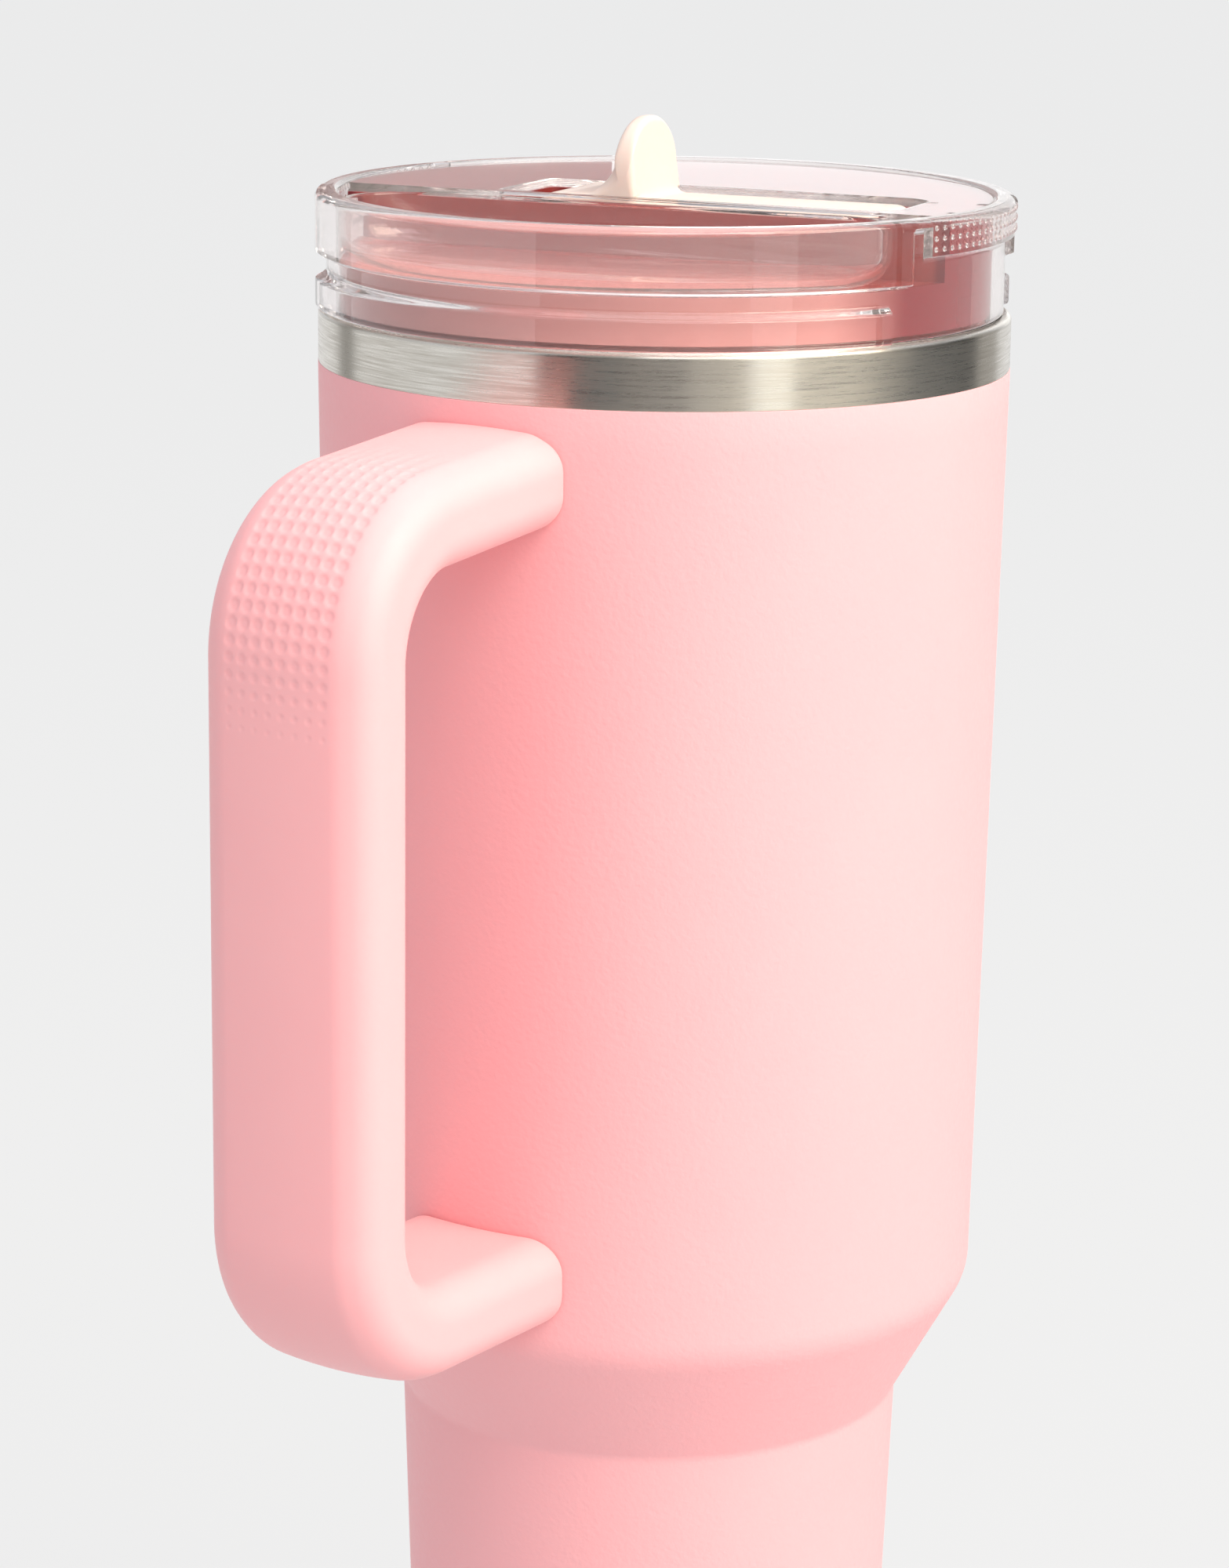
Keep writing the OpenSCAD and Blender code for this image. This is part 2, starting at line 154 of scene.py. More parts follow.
@dataclass(frozen=True)
class Finish:
    """A real material and how its surface was made.

    Attributes:
        name: common name of the material and its finish.
        hue: its base colour, sRGB hex.
        deep: the slightly darker tone it varies to, sRGB hex.
        roughness: typical microfacet roughness.
        spread: how far the roughness varies either way.
        ior: index of refraction; a metal keeps the default.
        grain_mm: width of the surface texture.
        relief_mm: depth of the surface texture.
    """

    name: str
    hue: str
    deep: str
    roughness: float
    spread: float = 0.04
    ior: float = 1.5
    grain_mm: float = 1.0
    relief_mm: float = 0.004

    def shader(self, tree: bpy.types.NodeTree) -> dict[str, Any]:
        """Gives the shader inputs that make this finish different from a plain one."""
        return {}

    def grain(self, tree: bpy.types.NodeTree, place: bpy.types.Node) -> bpy.types.Node:
        """Adds the fine texture that the relief follows, as even grains in all directions.

        Args:
            tree: the node tree it goes into.
            place: the coordinates node.

        Returns:
            The texture node, whose first output is the height.
        """
        return add_node(
            tree,
            "TexNoise",
            inputs={
                "Vector": place.outputs["Object"],
                "Scale": per_metre(self.grain_mm),
                "Detail": 2.0,
                "Roughness": 0.5,
            },
        )

    def tone(
        self, tree: bpy.types.NodeTree, grain: bpy.types.Node, place: bpy.types.Node
    ) -> bpy.types.NodeSocket:
        """Adds broad clouds that keep a large face from looking printed.

        Args:
            tree: the node tree it goes into.
            grain: the fine texture.
            place: the coordinates node.

        Returns:
            The socket that mixes the two tones.
        """
        scale = per_metre(CLOUD_MM)
        vector = place.outputs["Object"]
        return add_node(tree, "TexNoise", inputs={"Vector": vector, "Scale": scale}).outputs[0]

    def colour(
        self, tree: bpy.types.NodeTree, grain: bpy.types.Node, place: bpy.types.Node
    ) -> bpy.types.NodeSocket:
        """Mixes the two tones of the finish."""
        tones = {0: self.tone(tree, grain, place), 6: linear(self.hue), 7: linear(self.deep)}
        return add_node(tree, "Mix", {"data_type": "RGBA"}, tones).outputs[2]

    def surface(self, tree: bpy.types.NodeTree) -> bpy.types.Node:
        """Adds the shader, whose colour, roughness and relief all vary finely over the surface.

        Args:
            tree: the node tree it goes into.

        Returns:
            The shader node.
        """
        place = add_node(tree, "TexCoord")
        grain = self.grain(tree, place)
        rough = add_node(
            tree,
            "MapRange",
            inputs={
                "Value": grain.outputs[0],
                "From Min": 0.3,
                "From Max": 0.7,
                "To Min": max(self.roughness - self.spread, 0.01),
                "To Max": self.roughness + self.spread,
            },
        )
        bump = add_node(
            tree,
            "Bump",
            inputs={"Height": grain.outputs[0], "Strength": 1.0, "Distance": self.relief_mm * MM},
        )
        return add_node(
            tree,
            "BsdfPrincipled",
            inputs={
                "Base Color": self.colour(tree, grain, place),
                "Roughness": rough.outputs[0],
                "IOR": self.ior,
                "Normal": bump.outputs["Normal"],
                **self.shader(tree),
            },
        )

    def material(self) -> bpy.types.Material:
        """Gives the finish's material, made at the first call."""
        return bpy.data.materials.get(self.name) or node_material(self.name, self.surface)


@dataclass(frozen=True)
class PowderCoat(Finish):
    """Polyester powder coat, baked: a satin skin with a fine orange peel."""

    def shader(self, tree: bpy.types.NodeTree) -> dict[str, Any]:
        """A little light goes into the pigment, so edges of shade are warm and soft.

        Args:
            tree: the node tree it goes into.

        Returns:
            Values for the shader's sockets.
        """
        return {
            "Subsurface Weight": 0.12,
            "Subsurface Radius": (1.0, 0.45, 0.4),
            "Subsurface Scale": 0.0015,
            "Specular IOR Level": 0.42,
        }


@dataclass(frozen=True)
class SoftTouch(Finish):
    """Soft-touch thermoplastic rubber over-moulding: velvety, with a faint pale sheen at the edges."""

    def shader(self, tree: bpy.types.NodeTree) -> dict[str, Any]:
        """Light scatters a millimetre deep, and the fine nap catches light at grazing angles.

        Args:
            tree: the node tree it goes into.

        Returns:
            Values for the shader's sockets.
        """
        return {
            "Subsurface Weight": 0.2,
            "Subsurface Radius": (1.0, 0.5, 0.45),
            "Subsurface Scale": 0.002,
            "Sheen Weight": 0.12,
            "Sheen Roughness": 0.4,
        }


@dataclass(frozen=True)
class Metal(Finish):
    """Stainless steel, electropolished: even, cool grey."""

    def shader(self, tree: bpy.types.NodeTree) -> dict[str, Any]:
        """A full metal."""
        return {"Metallic": 1.0}


@dataclass(frozen=True)
class BrushedMetal(Metal):
    """Stainless steel, brushed round the ring: fine horizontal lines that smear reflections upright."""

    def grain(self, tree: bpy.types.NodeTree, place: bpy.types.Node) -> bpy.types.Node:
        """Adds noise squeezed along Z, so that it reads as lines that run round the ring.

        Args:
            tree: the node tree it goes into.
            place: the coordinates node.

        Returns:
            The texture node.
        """
        along = 40.0  # the lines are drawn 40 times longer than wide
        squeezed = add_node(
            tree,
            "Mapping",
            inputs={"Vector": place.outputs["Object"], "Scale": (1 / along, 1 / along, 1.0)},
        )
        return add_node(
            tree,
            "TexNoise",
            inputs={
                "Vector": squeezed.outputs[0],
                "Scale": per_metre(self.grain_mm),
                "Detail": 4.0,
                "Roughness": 0.7,
            },
        )

    def tone(
        self, tree: bpy.types.NodeTree, grain: bpy.types.Node, place: bpy.types.Node
    ) -> bpy.types.NodeSocket:
        """Single lines are lighter or darker.

        Args:
            tree: the node tree it goes into.
            grain: the brush lines.
            place: the coordinates node.

        Returns:
            The socket that mixes the two tones.
        """
        return add_node(
            tree, "MapRange", inputs={"Value": grain.outputs[0], "From Min": 0.35, "From Max": 0.65}
        ).outputs[0]

    def shader(self, tree: bpy.types.NodeTree) -> dict[str, Any]:
        """The lines' direction turns with the ring.

        Args:
            tree: the node tree it goes into.

        Returns:
            Values and links for the shader's sockets.
        """
        round_z = add_node(tree, "Tangent", {"direction_type": "RADIAL", "axis": "Z"})
        return {
            "Metallic": 1.0,
            "Anisotropic": 0.9,
            "Anisotropic Rotation": 0.25,
            "Tangent": round_z.outputs[0],
        }


@dataclass(frozen=True)
class ClearPlastic(Finish):
    """Copolyester, injection moulded and glossy: clear, with a trace of tint in its depth.

    Attributes:
        through: how much of the light passes.
    """

    through: float = 1.0

    def shader(self, tree: bpy.types.NodeTree) -> dict[str, Any]:
        """Light passes and bends."""
        return {"Transmission Weight": self.through, "Specular IOR Level": 0.5}


@dataclass(frozen=True)
class TintedPlastic(ClearPlastic):
    """Copolyester tinted in the mass, deep where the walls are thick; the front walls are painted pale, a
    painted reflection that stands in for the clear ring's white reflections over them.

    Attributes:
        wall: colour of the thick outer wall, sRGB hex.
        turn: the lid's turn, degrees.
        pale_x: where the painted pale reflection on the front walls is at full strength, in the lid's own
            drawing.
        deep_x: where that painted reflection fades out.
        wall_r: radius of the outer wall.
    """

    wall: str = "7C2029"
    turn: float = 8.0
    pale_x: float = -30.0
    deep_x: float = -19.0
    wall_r: float = 46.0

    def colour(
        self, tree: bpy.types.NodeTree, grain: bpy.types.Node, place: bpy.types.Node
    ) -> bpy.types.NodeSocket:
        """Mixes three tones: the bridge, the thick outer wall, and a painted pale front, which is painted
        reflection of the clear ring's white over the front walls.

        The outer wall starts at wall_r from the axis; the front starts at pale_x along the lid's X.

        Args:
            tree: the node tree it goes into.
            grain: the fine texture.
            place: the coordinates node.

        Returns:
            The socket that holds the colour.
        """
        vector = place.outputs["Object"]
        turned = add_node(
            tree, "Mapping", inputs={"Vector": vector, "Rotation": (0, 0, -math.radians(self.turn))}
        )
        split = add_node(tree, "SeparateXYZ", inputs={0: turned.outputs[0]})
        # Mask of the painted pale front: painted reflection, full at pale_x and gone at deep_x
        span = {"From Min": self.deep_x * MM, "From Max": self.pale_x * MM}
        front = add_node(tree, "MapRange", inputs={"Value": split.outputs[0], **span})
        flat = add_node(tree, "VectorMath", {"operation": "MULTIPLY"}, {0: vector, 1: (1, 1, 0)})
        far = add_node(tree, "VectorMath", {"operation": "LENGTH"}, {0: flat.outputs[0]})
        ring = {"From Min": (self.wall_r - 1) * MM, "From Max": self.wall_r * MM}
        outer = add_node(tree, "MapRange", inputs={"Value": far.outputs["Value"], **ring})
        kind = {"data_type": "RGBA"}
        body = {0: outer.outputs[0], 6: linear(self.hue), 7: linear(self.wall)}
        deep = add_node(tree, "Mix", kind, body)
        # The pale tone mixed in here is painted reflection of the clear ring's white over the front walls
        whole = {0: front.outputs[0], 6: deep.outputs[2], 7: linear(self.deep)}
        return add_node(tree, "Mix", kind, whole).outputs[2]

    def shader(self, tree: bpy.types.NodeTree) -> dict[str, Any]:
        """Light passes, and the face inside the clear ring reflects little."""
        return {"Transmission Weight": self.through, "Specular IOR Level": 0.2}


@dataclass(frozen=True)
class MouldedPlastic(Finish):
    """Polypropylene or silicone, moulded: slightly waxy, light scatters under the skin.

    Attributes:
        depth_mm: how far light scatters.
    """

    depth_mm: float = 2.0

    def shader(self, tree: bpy.types.NodeTree) -> dict[str, Any]:
        """Scatter under the skin, warm in its depth.

        Args:
            tree: the node tree it goes into.

        Returns:
            Values for the shader's sockets.
        """
        return {
            "Subsurface Weight": 0.3,
            "Subsurface Radius": (1.0, 0.7, 0.5),
            "Subsurface Scale": self.depth_mm * MM,
        }


class Finishes:
    """Every finish on the tumbler, named for what it is and how its surface was made."""

    # Satin pink skin. Real orange peel is about 0.02 mm deep; it is drawn deeper so that it shows.
    COAT = PowderCoat(
        "polyester_powder_coat_satin", "F8B2B5", "F6AEB2", 0.5, 0.05, grain_mm=0.9, relief_mm=0.06
    )
    # Velvety and a little paler at its edges than the coat
    GRIP = SoftTouch(
        "thermoplastic_rubber_soft_touch",
        "F8B3B5",
        "F6AFB2",
        0.5,
        ior=1.48,
        grain_mm=0.35,
        relief_mm=0.003,
    )
    # Deeper pink, waxy, seen only in the screws' recesses
    CORE = MouldedPlastic(
        "polypropylene_moulded_rose", "E58F92", "DE868A", 0.42, ior=1.49, grain_mm=1.2
    )
    # Bright steel with lines round the ring. Real lines are under 0.1 mm; they are drawn at 0.3 mm.
    NECK = BrushedMetal(
        "stainless_steel_brushed", "EAE6DE", "CDC7BC", 0.3, 0.08, grain_mm=0.3, relief_mm=0.002
    )
    # Even, cool grey with soft reflections
    STEEL = Metal(
        "stainless_steel_electropolished", "CFCDC8", "C6C4BF", 0.2, 0.05, grain_mm=0.8, relief_mm=0.001
    )
    # Darker grey with a turned grain
    SCREW = Metal(
        "stainless_steel_machined", "BFBDB8", "B4B2AD", 0.28, 0.05, grain_mm=0.3, relief_mm=0.002
    )
    # Matt, dusty pink
    PAD = MouldedPlastic(
        "silicone_rubber_moulded_pink", "D98C92", "D1858B", 0.6, 0.05, ior=1.43, grain_mm=0.6
    )
    # Glassy, with slow waves that bend reflections a little
    CLEAR = ClearPlastic(
        "copolyester_clear_moulded",
        "FFFBFB",
        "FFF8F7",
        0.02,
        0.008,
        ior=1.54,
        grain_mm=9.0,
        through=0.985,
    )
    # Terracotta bridge and deep red wall, glossy; the pale rose front is painted reflection, the clear
    # ring's white painted into the front walls
    ROSE = TintedPlastic(
        "copolyester_rose_tinted_moulded",
        "A2433F",
        "CF9391",
        0.06,
        0.02,
        ior=1.54,
        grain_mm=7.0,
        through=0.3,
    )
    # Soft, satin rose
    SEAL = MouldedPlastic("silicone_rubber_rose", "E3A3A6", "DC9B9F", 0.45, 0.05, ior=1.43, grain_mm=0.8)
    # Soft, satin off-white
    PALE = MouldedPlastic("silicone_rubber_pale", "F0E6DC", "EADFD4", 0.45, 0.05, ior=1.43, grain_mm=0.8)
    # Warm cream, satin, light glows through its thin edges
    SPOUT = MouldedPlastic(
        "polypropylene_moulded_cream",
        "E2CFC7",
        "DECABF",
        0.34,
        ior=1.49,
        grain_mm=0.9,
        relief_mm=0.003,
        depth_mm=2.5,
    )
    # Milky, half see-through
    STRAW = ClearPlastic(
        "polypropylene_extruded_frosted",
        "FBE9E6",
        "F8E4E1",
        0.22,
        ior=1.49,
        grain_mm=1.5,
        relief_mm=0.003,
        through=0.6,
    )


# ---------------------------------------------------------------- curves and grids


def fillet_points(
    a: np.ndarray, b: np.ndarray, c: np.ndarray, radius: float, step: float
) -> np.ndarray:
    """Rounds the corner a-b-c with an arc tangent to both lines.

    The arc's centre lies on the corner's bisector at radius / sin(half the corner's angle).

    Args:
        a: the point before the corner.
        b: the corner.
        c: the point after it.
        radius: the arc's radius.
        step: degrees between the arc's points.

    Returns:
        The arc's points, with a guard point just outside each end that keeps the shading flat.
    """
    u, v = (a - b) / np.linalg.norm(a - b), (c - b) / np.linalg.norm(c - b)
    half = math.acos(float(np.clip(u @ v, -1, 1))) / 2
    reach = radius / math.tan(half)
    centre = b + (u + v) / np.linalg.norm(u + v) * radius / math.sin(half)
    s, e = b + u * reach - centre, b + v * reach - centre
    turn = math.atan2(s[0] * e[1] - s[1] * e[0], float(s @ e))
    count = max(2, math.ceil(abs(math.degrees(turn)) / step))
    angle = math.atan2(s[1], s[0]) + turn * np.linspace(0, 1, count + 1)
    arc = centre + radius * np.stack([np.cos(angle), np.sin(angle)], -1)
    guard = min(0.15 * radius + 0.02, 0.3)
    return np.vstack([arc[0] + u * guard, arc, arc[-1] + v * guard])


def rounded(
    corners: Sequence[Sequence[float]],
    radii: Sequence[float],
    closed: bool = False,
    step: float = 11.0,
) -> np.ndarray:
    """Rounds the corners of a line.

    Args:
        corners: the corners in order.
        radii: one radius for each corner; an open line's two ends aren't rounded.
        closed: whether the last corner joins the first.
        step: degrees between an arc's points.

    Returns:
        The points of the rounded line.
    """
    c = np.array(corners, float)
    count = len(c)
    inner = range(count) if closed else range(1, count - 1)
    arcs = [
        fillet_points(c[i - 1], c[i], c[(i + 1) % count], radii[i], step) for i in inner
    ]
    return np.vstack(arcs if closed else [c[:1], *arcs, c[-1:]])


def divided(points: np.ndarray, longest: float, closed: bool = False) -> np.ndarray:
    """Cuts the long stretches of a line so that none is longer than `longest`.

    Args:
        points: the line.
        longest: the longest stretch that may stay.
        closed: whether the last point joins the first.

    Returns:
        The points of the same line, with more along its long stretches.
    """
    ends = np.vstack([points, points[:1]]) if closed else points
    counts = np.maximum(1, np.ceil(np.linalg.norm(np.diff(ends, axis=0), axis=1) / longest))
    whole = np.concatenate([i + np.arange(n) / n for i, n in enumerate(counts)])
    whole = whole if closed else np.append(whole, len(counts))
    marks = np.arange(len(ends))
    return np.stack([np.interp(whole, marks, ends[:, k]) for k in range(ends.shape[1])], -1)


def steps_near(edges: Sequence[float], width: float) -> np.ndarray:
    """Gives sample places that follow a smooth step of that width at each edge."""
    return np.add.outer(np.array(edges), width * np.linspace(-0.62, 0.62, 7)).ravel()


def smooth(x: np.ndarray) -> np.ndarray:
    """Smooth step: 3x^2 - 2x^3 between 0 and 1."""
    x = np.clip(x, 0, 1)
    return x * x * (3 - 2 * x)


def window(x: np.ndarray, low: float, high: float, width: float) -> np.ndarray:
    """Is 1 between low and high and 0 outside, with a smooth step of that width at both."""
    return smooth((x - low) / width + 0.5) * smooth((high - x) / width + 0.5)


def revolve(profile: np.ndarray, turns: int = 256) -> np.ndarray:
    """Turns a line of (r, z) points about Z: (r cos a, r sin a, z) on a grid of angle by point.

    Args:
        profile: points of (r, z).
        turns: number of steps round the axis.

    Returns:
        Angles by points by 3.
    """
    a = np.arange(turns) * 2 * np.pi / turns
    r, z = profile[:, 0], profile[:, 1]
    return np.stack(
        [np.outer(np.cos(a), r), np.outer(np.sin(a), r), np.broadcast_to(z, (turns, len(z)))], -1
    )


def grid_faces(rows: int, cols: int, wrap_rows: bool, wrap_cols: bool) -> np.ndarray:
    """Lists the four corners of each cell of a grid.

    Args:
        rows: number of rows.
        cols: number of columns.
        wrap_rows: whether the last row joins the first.
        wrap_cols: whether the last column joins the first.

    Returns:
        One row of four vertex numbers for each cell.
    """
    i = np.arange(rows if wrap_rows else rows - 1)[:, None]
    j = np.arange(cols if wrap_cols else cols - 1)[None, :]
    up, right = (i + 1) % rows, (j + 1) % cols
    corners = [i * cols + j, i * cols + right, up * cols + right, up * cols + j]
    return np.stack(corners, -1).reshape(-1, 4)


@dataclass
class Patch:
    """A surface on a grid of two parameters.

    Attributes:
        points: rows by columns by 3, in millimetres.
        wrap_rows: whether the last row joins the first.
        wrap_cols: whether the last column joins the first.
        cap_rows: whether a flat face closes the first and the last row.
    """

    points: np.ndarray
    wrap_rows: bool = True
    wrap_cols: bool = True
    cap_rows: bool = False


def mesh_piece(name: str, patches: Sequence[Patch]) -> bpy.types.Object:
    """Puts patches into one closed, smooth mesh object at the origin.

    Points that coincide at seams and poles are merged, and the faces are turned outward where the
    whole encloses a negative volume.

    Args:
        name: the piece's name.
        patches: its surfaces, in millimetres.

    Returns:
        The new object, linked to the scene.
    """
    mesh = bpy.data.meshes.new(name)
    points = np.vstack([p.points.reshape(-1, 3) for p in patches]) * MM
    starts = np.cumsum([0, *[p.points.shape[0] * p.points.shape[1] for p in patches]])
    faces = np.vstack(
        [
            grid_faces(*p.points.shape[:2], p.wrap_rows, p.wrap_cols) + s
            for p, s in zip(patches, starts)
        ]
    )
    mesh.vertices.add(len(points))
    mesh.vertices.foreach_set("co", points.astype(np.float32).ravel())
    mesh.loops.add(faces.size)
    mesh.loops.foreach_set("vertex_index", faces.astype(np.int32).ravel())
    mesh.polygons.add(len(faces))
    mesh.polygons.foreach_set("loop_start", np.arange(0, faces.size, 4, dtype=np.int32))
    mesh.update(calc_edges=True)
    work = bmesh.new()
    work.from_mesh(mesh)
    work.verts.ensure_lookup_table()
    for p, s in zip(patches, starts):
        if p.cap_rows:
            rows, cols = p.points.shape[:2]
            work.faces.new([work.verts[s + k] for k in reversed(range(cols))])
            work.faces.new([work.verts[s + (rows - 1) * cols + k] for k in range(cols)])
    bmesh.ops.remove_doubles(work, verts=work.verts, dist=2e-7)
    if work.calc_volume(signed=True) < 0:
        bmesh.ops.reverse_faces(work, faces=work.faces)
    work.to_mesh(mesh)
    work.free()
    mesh.polygons.foreach_set("use_smooth", np.ones(len(mesh.polygons), bool))
    mesh.update()
    piece = bpy.data.objects.new(name, mesh)
    bpy.context.scene.collection.objects.link(piece)
    return piece


def bored(piece: bpy.types.Object, cutters: Sequence[Patch]) -> bpy.types.Object:
    """Cuts closed shapes out of a piece and keeps the result as its mesh.

    Args:
        piece: the piece to cut.
        cutters: the closed shapes to take away.

    Returns:
        The same piece.
    """
    tool = mesh_piece(piece.name + "_cutter", cutters)
    cut = piece.modifiers.new("bore", "BOOLEAN")
    cut.operation, cut.solver, cut.object = "DIFFERENCE", "EXACT", tool
    bpy.context.view_layer.update()
    done = bpy.data.meshes.new_from_object(
        piece.evaluated_get(bpy.context.evaluated_depsgraph_get())
    )
    piece.modifiers.clear()
    piece.data = done
    done.set_sharp_from_angle(angle=math.radians(40))
    bpy.data.objects.remove(tool)
    return piece


def place(
    piece: bpy.types.Object, body: Body, finish: Finish, slot: Slot, *nodes: str
) -> bpy.types.Object:
    """Dresses a new piece, makes it ride on its body and hides the CAD nodes it replaces.

    Args:
        piece: the new piece.
        body: the body it moves with.
        finish: what it is made of.
        slot: the record's material slot; not used.
        nodes: the CAD nodes it replaces.

    Returns:
        The same piece.
    """
    piece.data.materials.clear()
    piece.data.materials.append(finish.material())
    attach(piece, body.value)
    if nodes:
        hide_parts(*nodes)
    LOG.info("%s: %d faces, rides %s", piece.name, len(piece.data.polygons), body.value)
    return piece


def dress(finish: Finish, *nodes: str) -> None:
    """Gives CAD nodes that keep their shape a finish.

    Args:
        finish: what they are made of.
        nodes: the nodes' names.
    """
    for name in nodes:
        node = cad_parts[name]
        for slot in node.material_slots:
            slot.material = finish.material()
        LOG.info("%s: CAD node in %s", name, finish.name)


# ---------------------------------------------------------------- vessel


@dataclass
class Vessel:
    """The double-walled steel vessel: coated shell, brushed neck, inner liner and foot pad.

    Attributes:
        barrel_top_r: radius under the neck.
        barrel_low_r: radius at the barrel's foot.
        tube_top_r: radius of the lower tube at the crease.
        tube_low_r: radius at the foot.
        disc_r: radius of the base plate.
        pad_h: height of the foot pad.
        crease_z: height of the crease under the shoulder.
        corner_z: height of the shoulder's corner.
        coat_z: height where the coat stops.
        rim_z: height of the vessel's rim.
        neck_r: the rim's inner radius.
        neck_wall: thickness of the liner's thinned neck.
        neck_low_z: height where the straight neck begins.
        wall: the shell's wall.
        liner_t: the liner's wall.
        inset: how far the liner lies inside the shell.
        liner_floor_z: height of the liner's underside.
        lip: height of the coat's rounded edge under the neck band.
        pad_r: the foot pad's radius.
        pad_grooves: radii of the pad's grooves.
        groove_half: half a groove's width.
        groove_depth: a groove's depth.
    """

    barrel_top_r: float = 49.8
    barrel_low_r: float = 47.9
    tube_top_r: float = 37.4
    tube_low_r: float = 34.6
    disc_r: float = 32.2
    pad_h: float = 1.5
    crease_z: float = 87.0
    corner_z: float = 106.0
    coat_z: float = 241.5
    rim_z: float = 249.2
    neck_r: float = 46.6
    neck_wall: float = 0.6
    neck_low_z: float = 225.2
    wall: float = 0.6
    liner_t: float = 0.5
    inset: float = 3.2
    liner_floor_z: float = 7.5
    lip: float = 0.08
    pad_r: float = 31.6
    pad_grooves: tuple[float, ...] = (9, 15, 21, 27)
    groove_half: float = 0.8
    groove_depth: float = 0.35

    def wall_line(self, t: float) -> np.ndarray:
        """Gives the shell's line of (r, z), moved in by t.

        Args:
            t: depth under the outer face.

        Returns:
            Points of (r, z) from the base up.
        """
        corners = [
            [self.disc_r, self.pad_h + t],
            [self.tube_low_r - t, self.pad_h + t],
            [self.tube_top_r - t, self.crease_z],
            [self.barrel_low_r - t, self.corner_z],
            [self.barrel_top_r - t, self.coat_z],
        ]
        return rounded(corners, [0, 2.2 - t, 3 + t, 9 - t, 0], step=5)

    def liner_line(self, t: float) -> np.ndarray:
        """Gives the liner's line of (r, z), moved in by t.

        Args:
            t: depth under the outer face.

        Returns:
            Points of (r, z) from the axis up.
        """
        neck = self.neck_r + self.neck_wall - t * self.neck_wall / self.liner_t
        inner = self.inset + t
        corners = [
            [0, self.liner_floor_z + t],
            [self.tube_low_r - inner, self.liner_floor_z + t],
            [self.tube_top_r - inner, self.crease_z + 1.2],
            [self.barrel_low_r - inner, self.corner_z + 1.2],
            [self.barrel_top_r - self.inset - 0.6 - t, self.neck_low_z - 8],
            [neck, self.neck_low_z],
            [neck, self.rim_z],
        ]
        return rounded(corners, [0, 8 - t, 4 + t, 9 - t, 12, 12, 0], step=6)

    def shell(self) -> bpy.types.Object:
        """Turns the shell's wall about Z: its outer line up, a thin edge, its inner line down.

        Returns:
            The piece.
        """
        outer, inner = self.wall_line(0), self.wall_line(self.wall)
        edge = [[self.barrel_top_r - 0.02, self.coat_z], [self.barrel_top_r - 0.1, self.coat_z]]
        outer[-1, 1] -= self.lip
        loop = divided(np.vstack([outer, edge, inner[::-1]]), 6.0, closed=True)
        piece = mesh_piece("tumbler_wall", [Patch(revolve(loop))])
        return place(piece, Body.VESSEL, Finishes.COAT, Slot.COAT, "outer_shell")

    def neck(self) -> bpy.types.Object:
        """Turns the neck ring's section about Z: a brushed band with a rolled rim.

        Returns:
            The piece.
        """
        out, inn, wall = self.barrel_top_r - 0.03, self.neck_r + self.neck_wall, self.wall
        corners = [
            [out - wall, self.coat_z],
            [out, self.coat_z],
            [out, self.rim_z],
            [inn, self.rim_z],
            [inn, self.rim_z - wall],
            [out - wall, self.rim_z - wall],
        ]
        loop = divided(rounded(corners, [0.05, 0.1, 0.8, 0.15, 0.05, 0.2], True), 1.5, True)
        piece = mesh_piece("neck_ring", [Patch(revolve(loop))])
        return place(piece, Body.VESSEL, Finishes.NECK, Slot.NECK, "neck_band")

    def liner(self) -> bpy.types.Object:
        """Turns the liner's wall about Z: from the axis up its outside and down its inside.

        Returns:
            The piece.
        """
        outer, inner = self.liner_line(0), self.liner_line(self.liner_t)
        line = divided(np.vstack([outer, inner[::-1]]), 6.0)
        piece = mesh_piece("inner_vessel", [Patch(revolve(line, 192), wrap_cols=False)])
        return place(piece, Body.VESSEL, Finishes.STEEL, Slot.STEEL, "inner_liner")

    def foot(self) -> bpy.types.Object:
        """Turns the foot pad about Z: a disc with round grooves in its underside.

        The underside's height is groove_depth times a window on each groove's radius.

        Returns:
            The piece.
        """
        half, step, flat_r = self.groove_half, 0.4, self.pad_r - 0.5
        edges = [k + side * half for k in self.pad_grooves for side in (-1, 1)]
        r = np.unique(np.concatenate([np.linspace(0, flat_r, 40), steps_near(edges, step)]))
        z = self.groove_depth * sum(window(r, k - half, k + half, step) for k in self.pad_grooves)
        corners = [[flat_r, 0], [self.pad_r, 0], [self.pad_r, self.pad_h], [0, self.pad_h]]
        line = np.vstack([np.stack([r, z], -1), rounded(corners, [0, 0.45, 0.3, 0])[1:]])
        piece = mesh_piece("foot_pad", [Patch(revolve(line, 128), wrap_cols=False)])
        return place(piece, Body.VESSEL, Finishes.PAD, Slot.PAD, "base_pad")

    def build(self) -> None:
        """Builds the vessel's pieces and dresses its hidden ones."""
        self.shell()
        self.neck()
        self.liner()
        self.foot()
        dress(Finishes.STEEL, "base_disc", "vacuum_seal", "upper_bracket", "lower_bracket")


# ---------------------------------------------------------------- handle


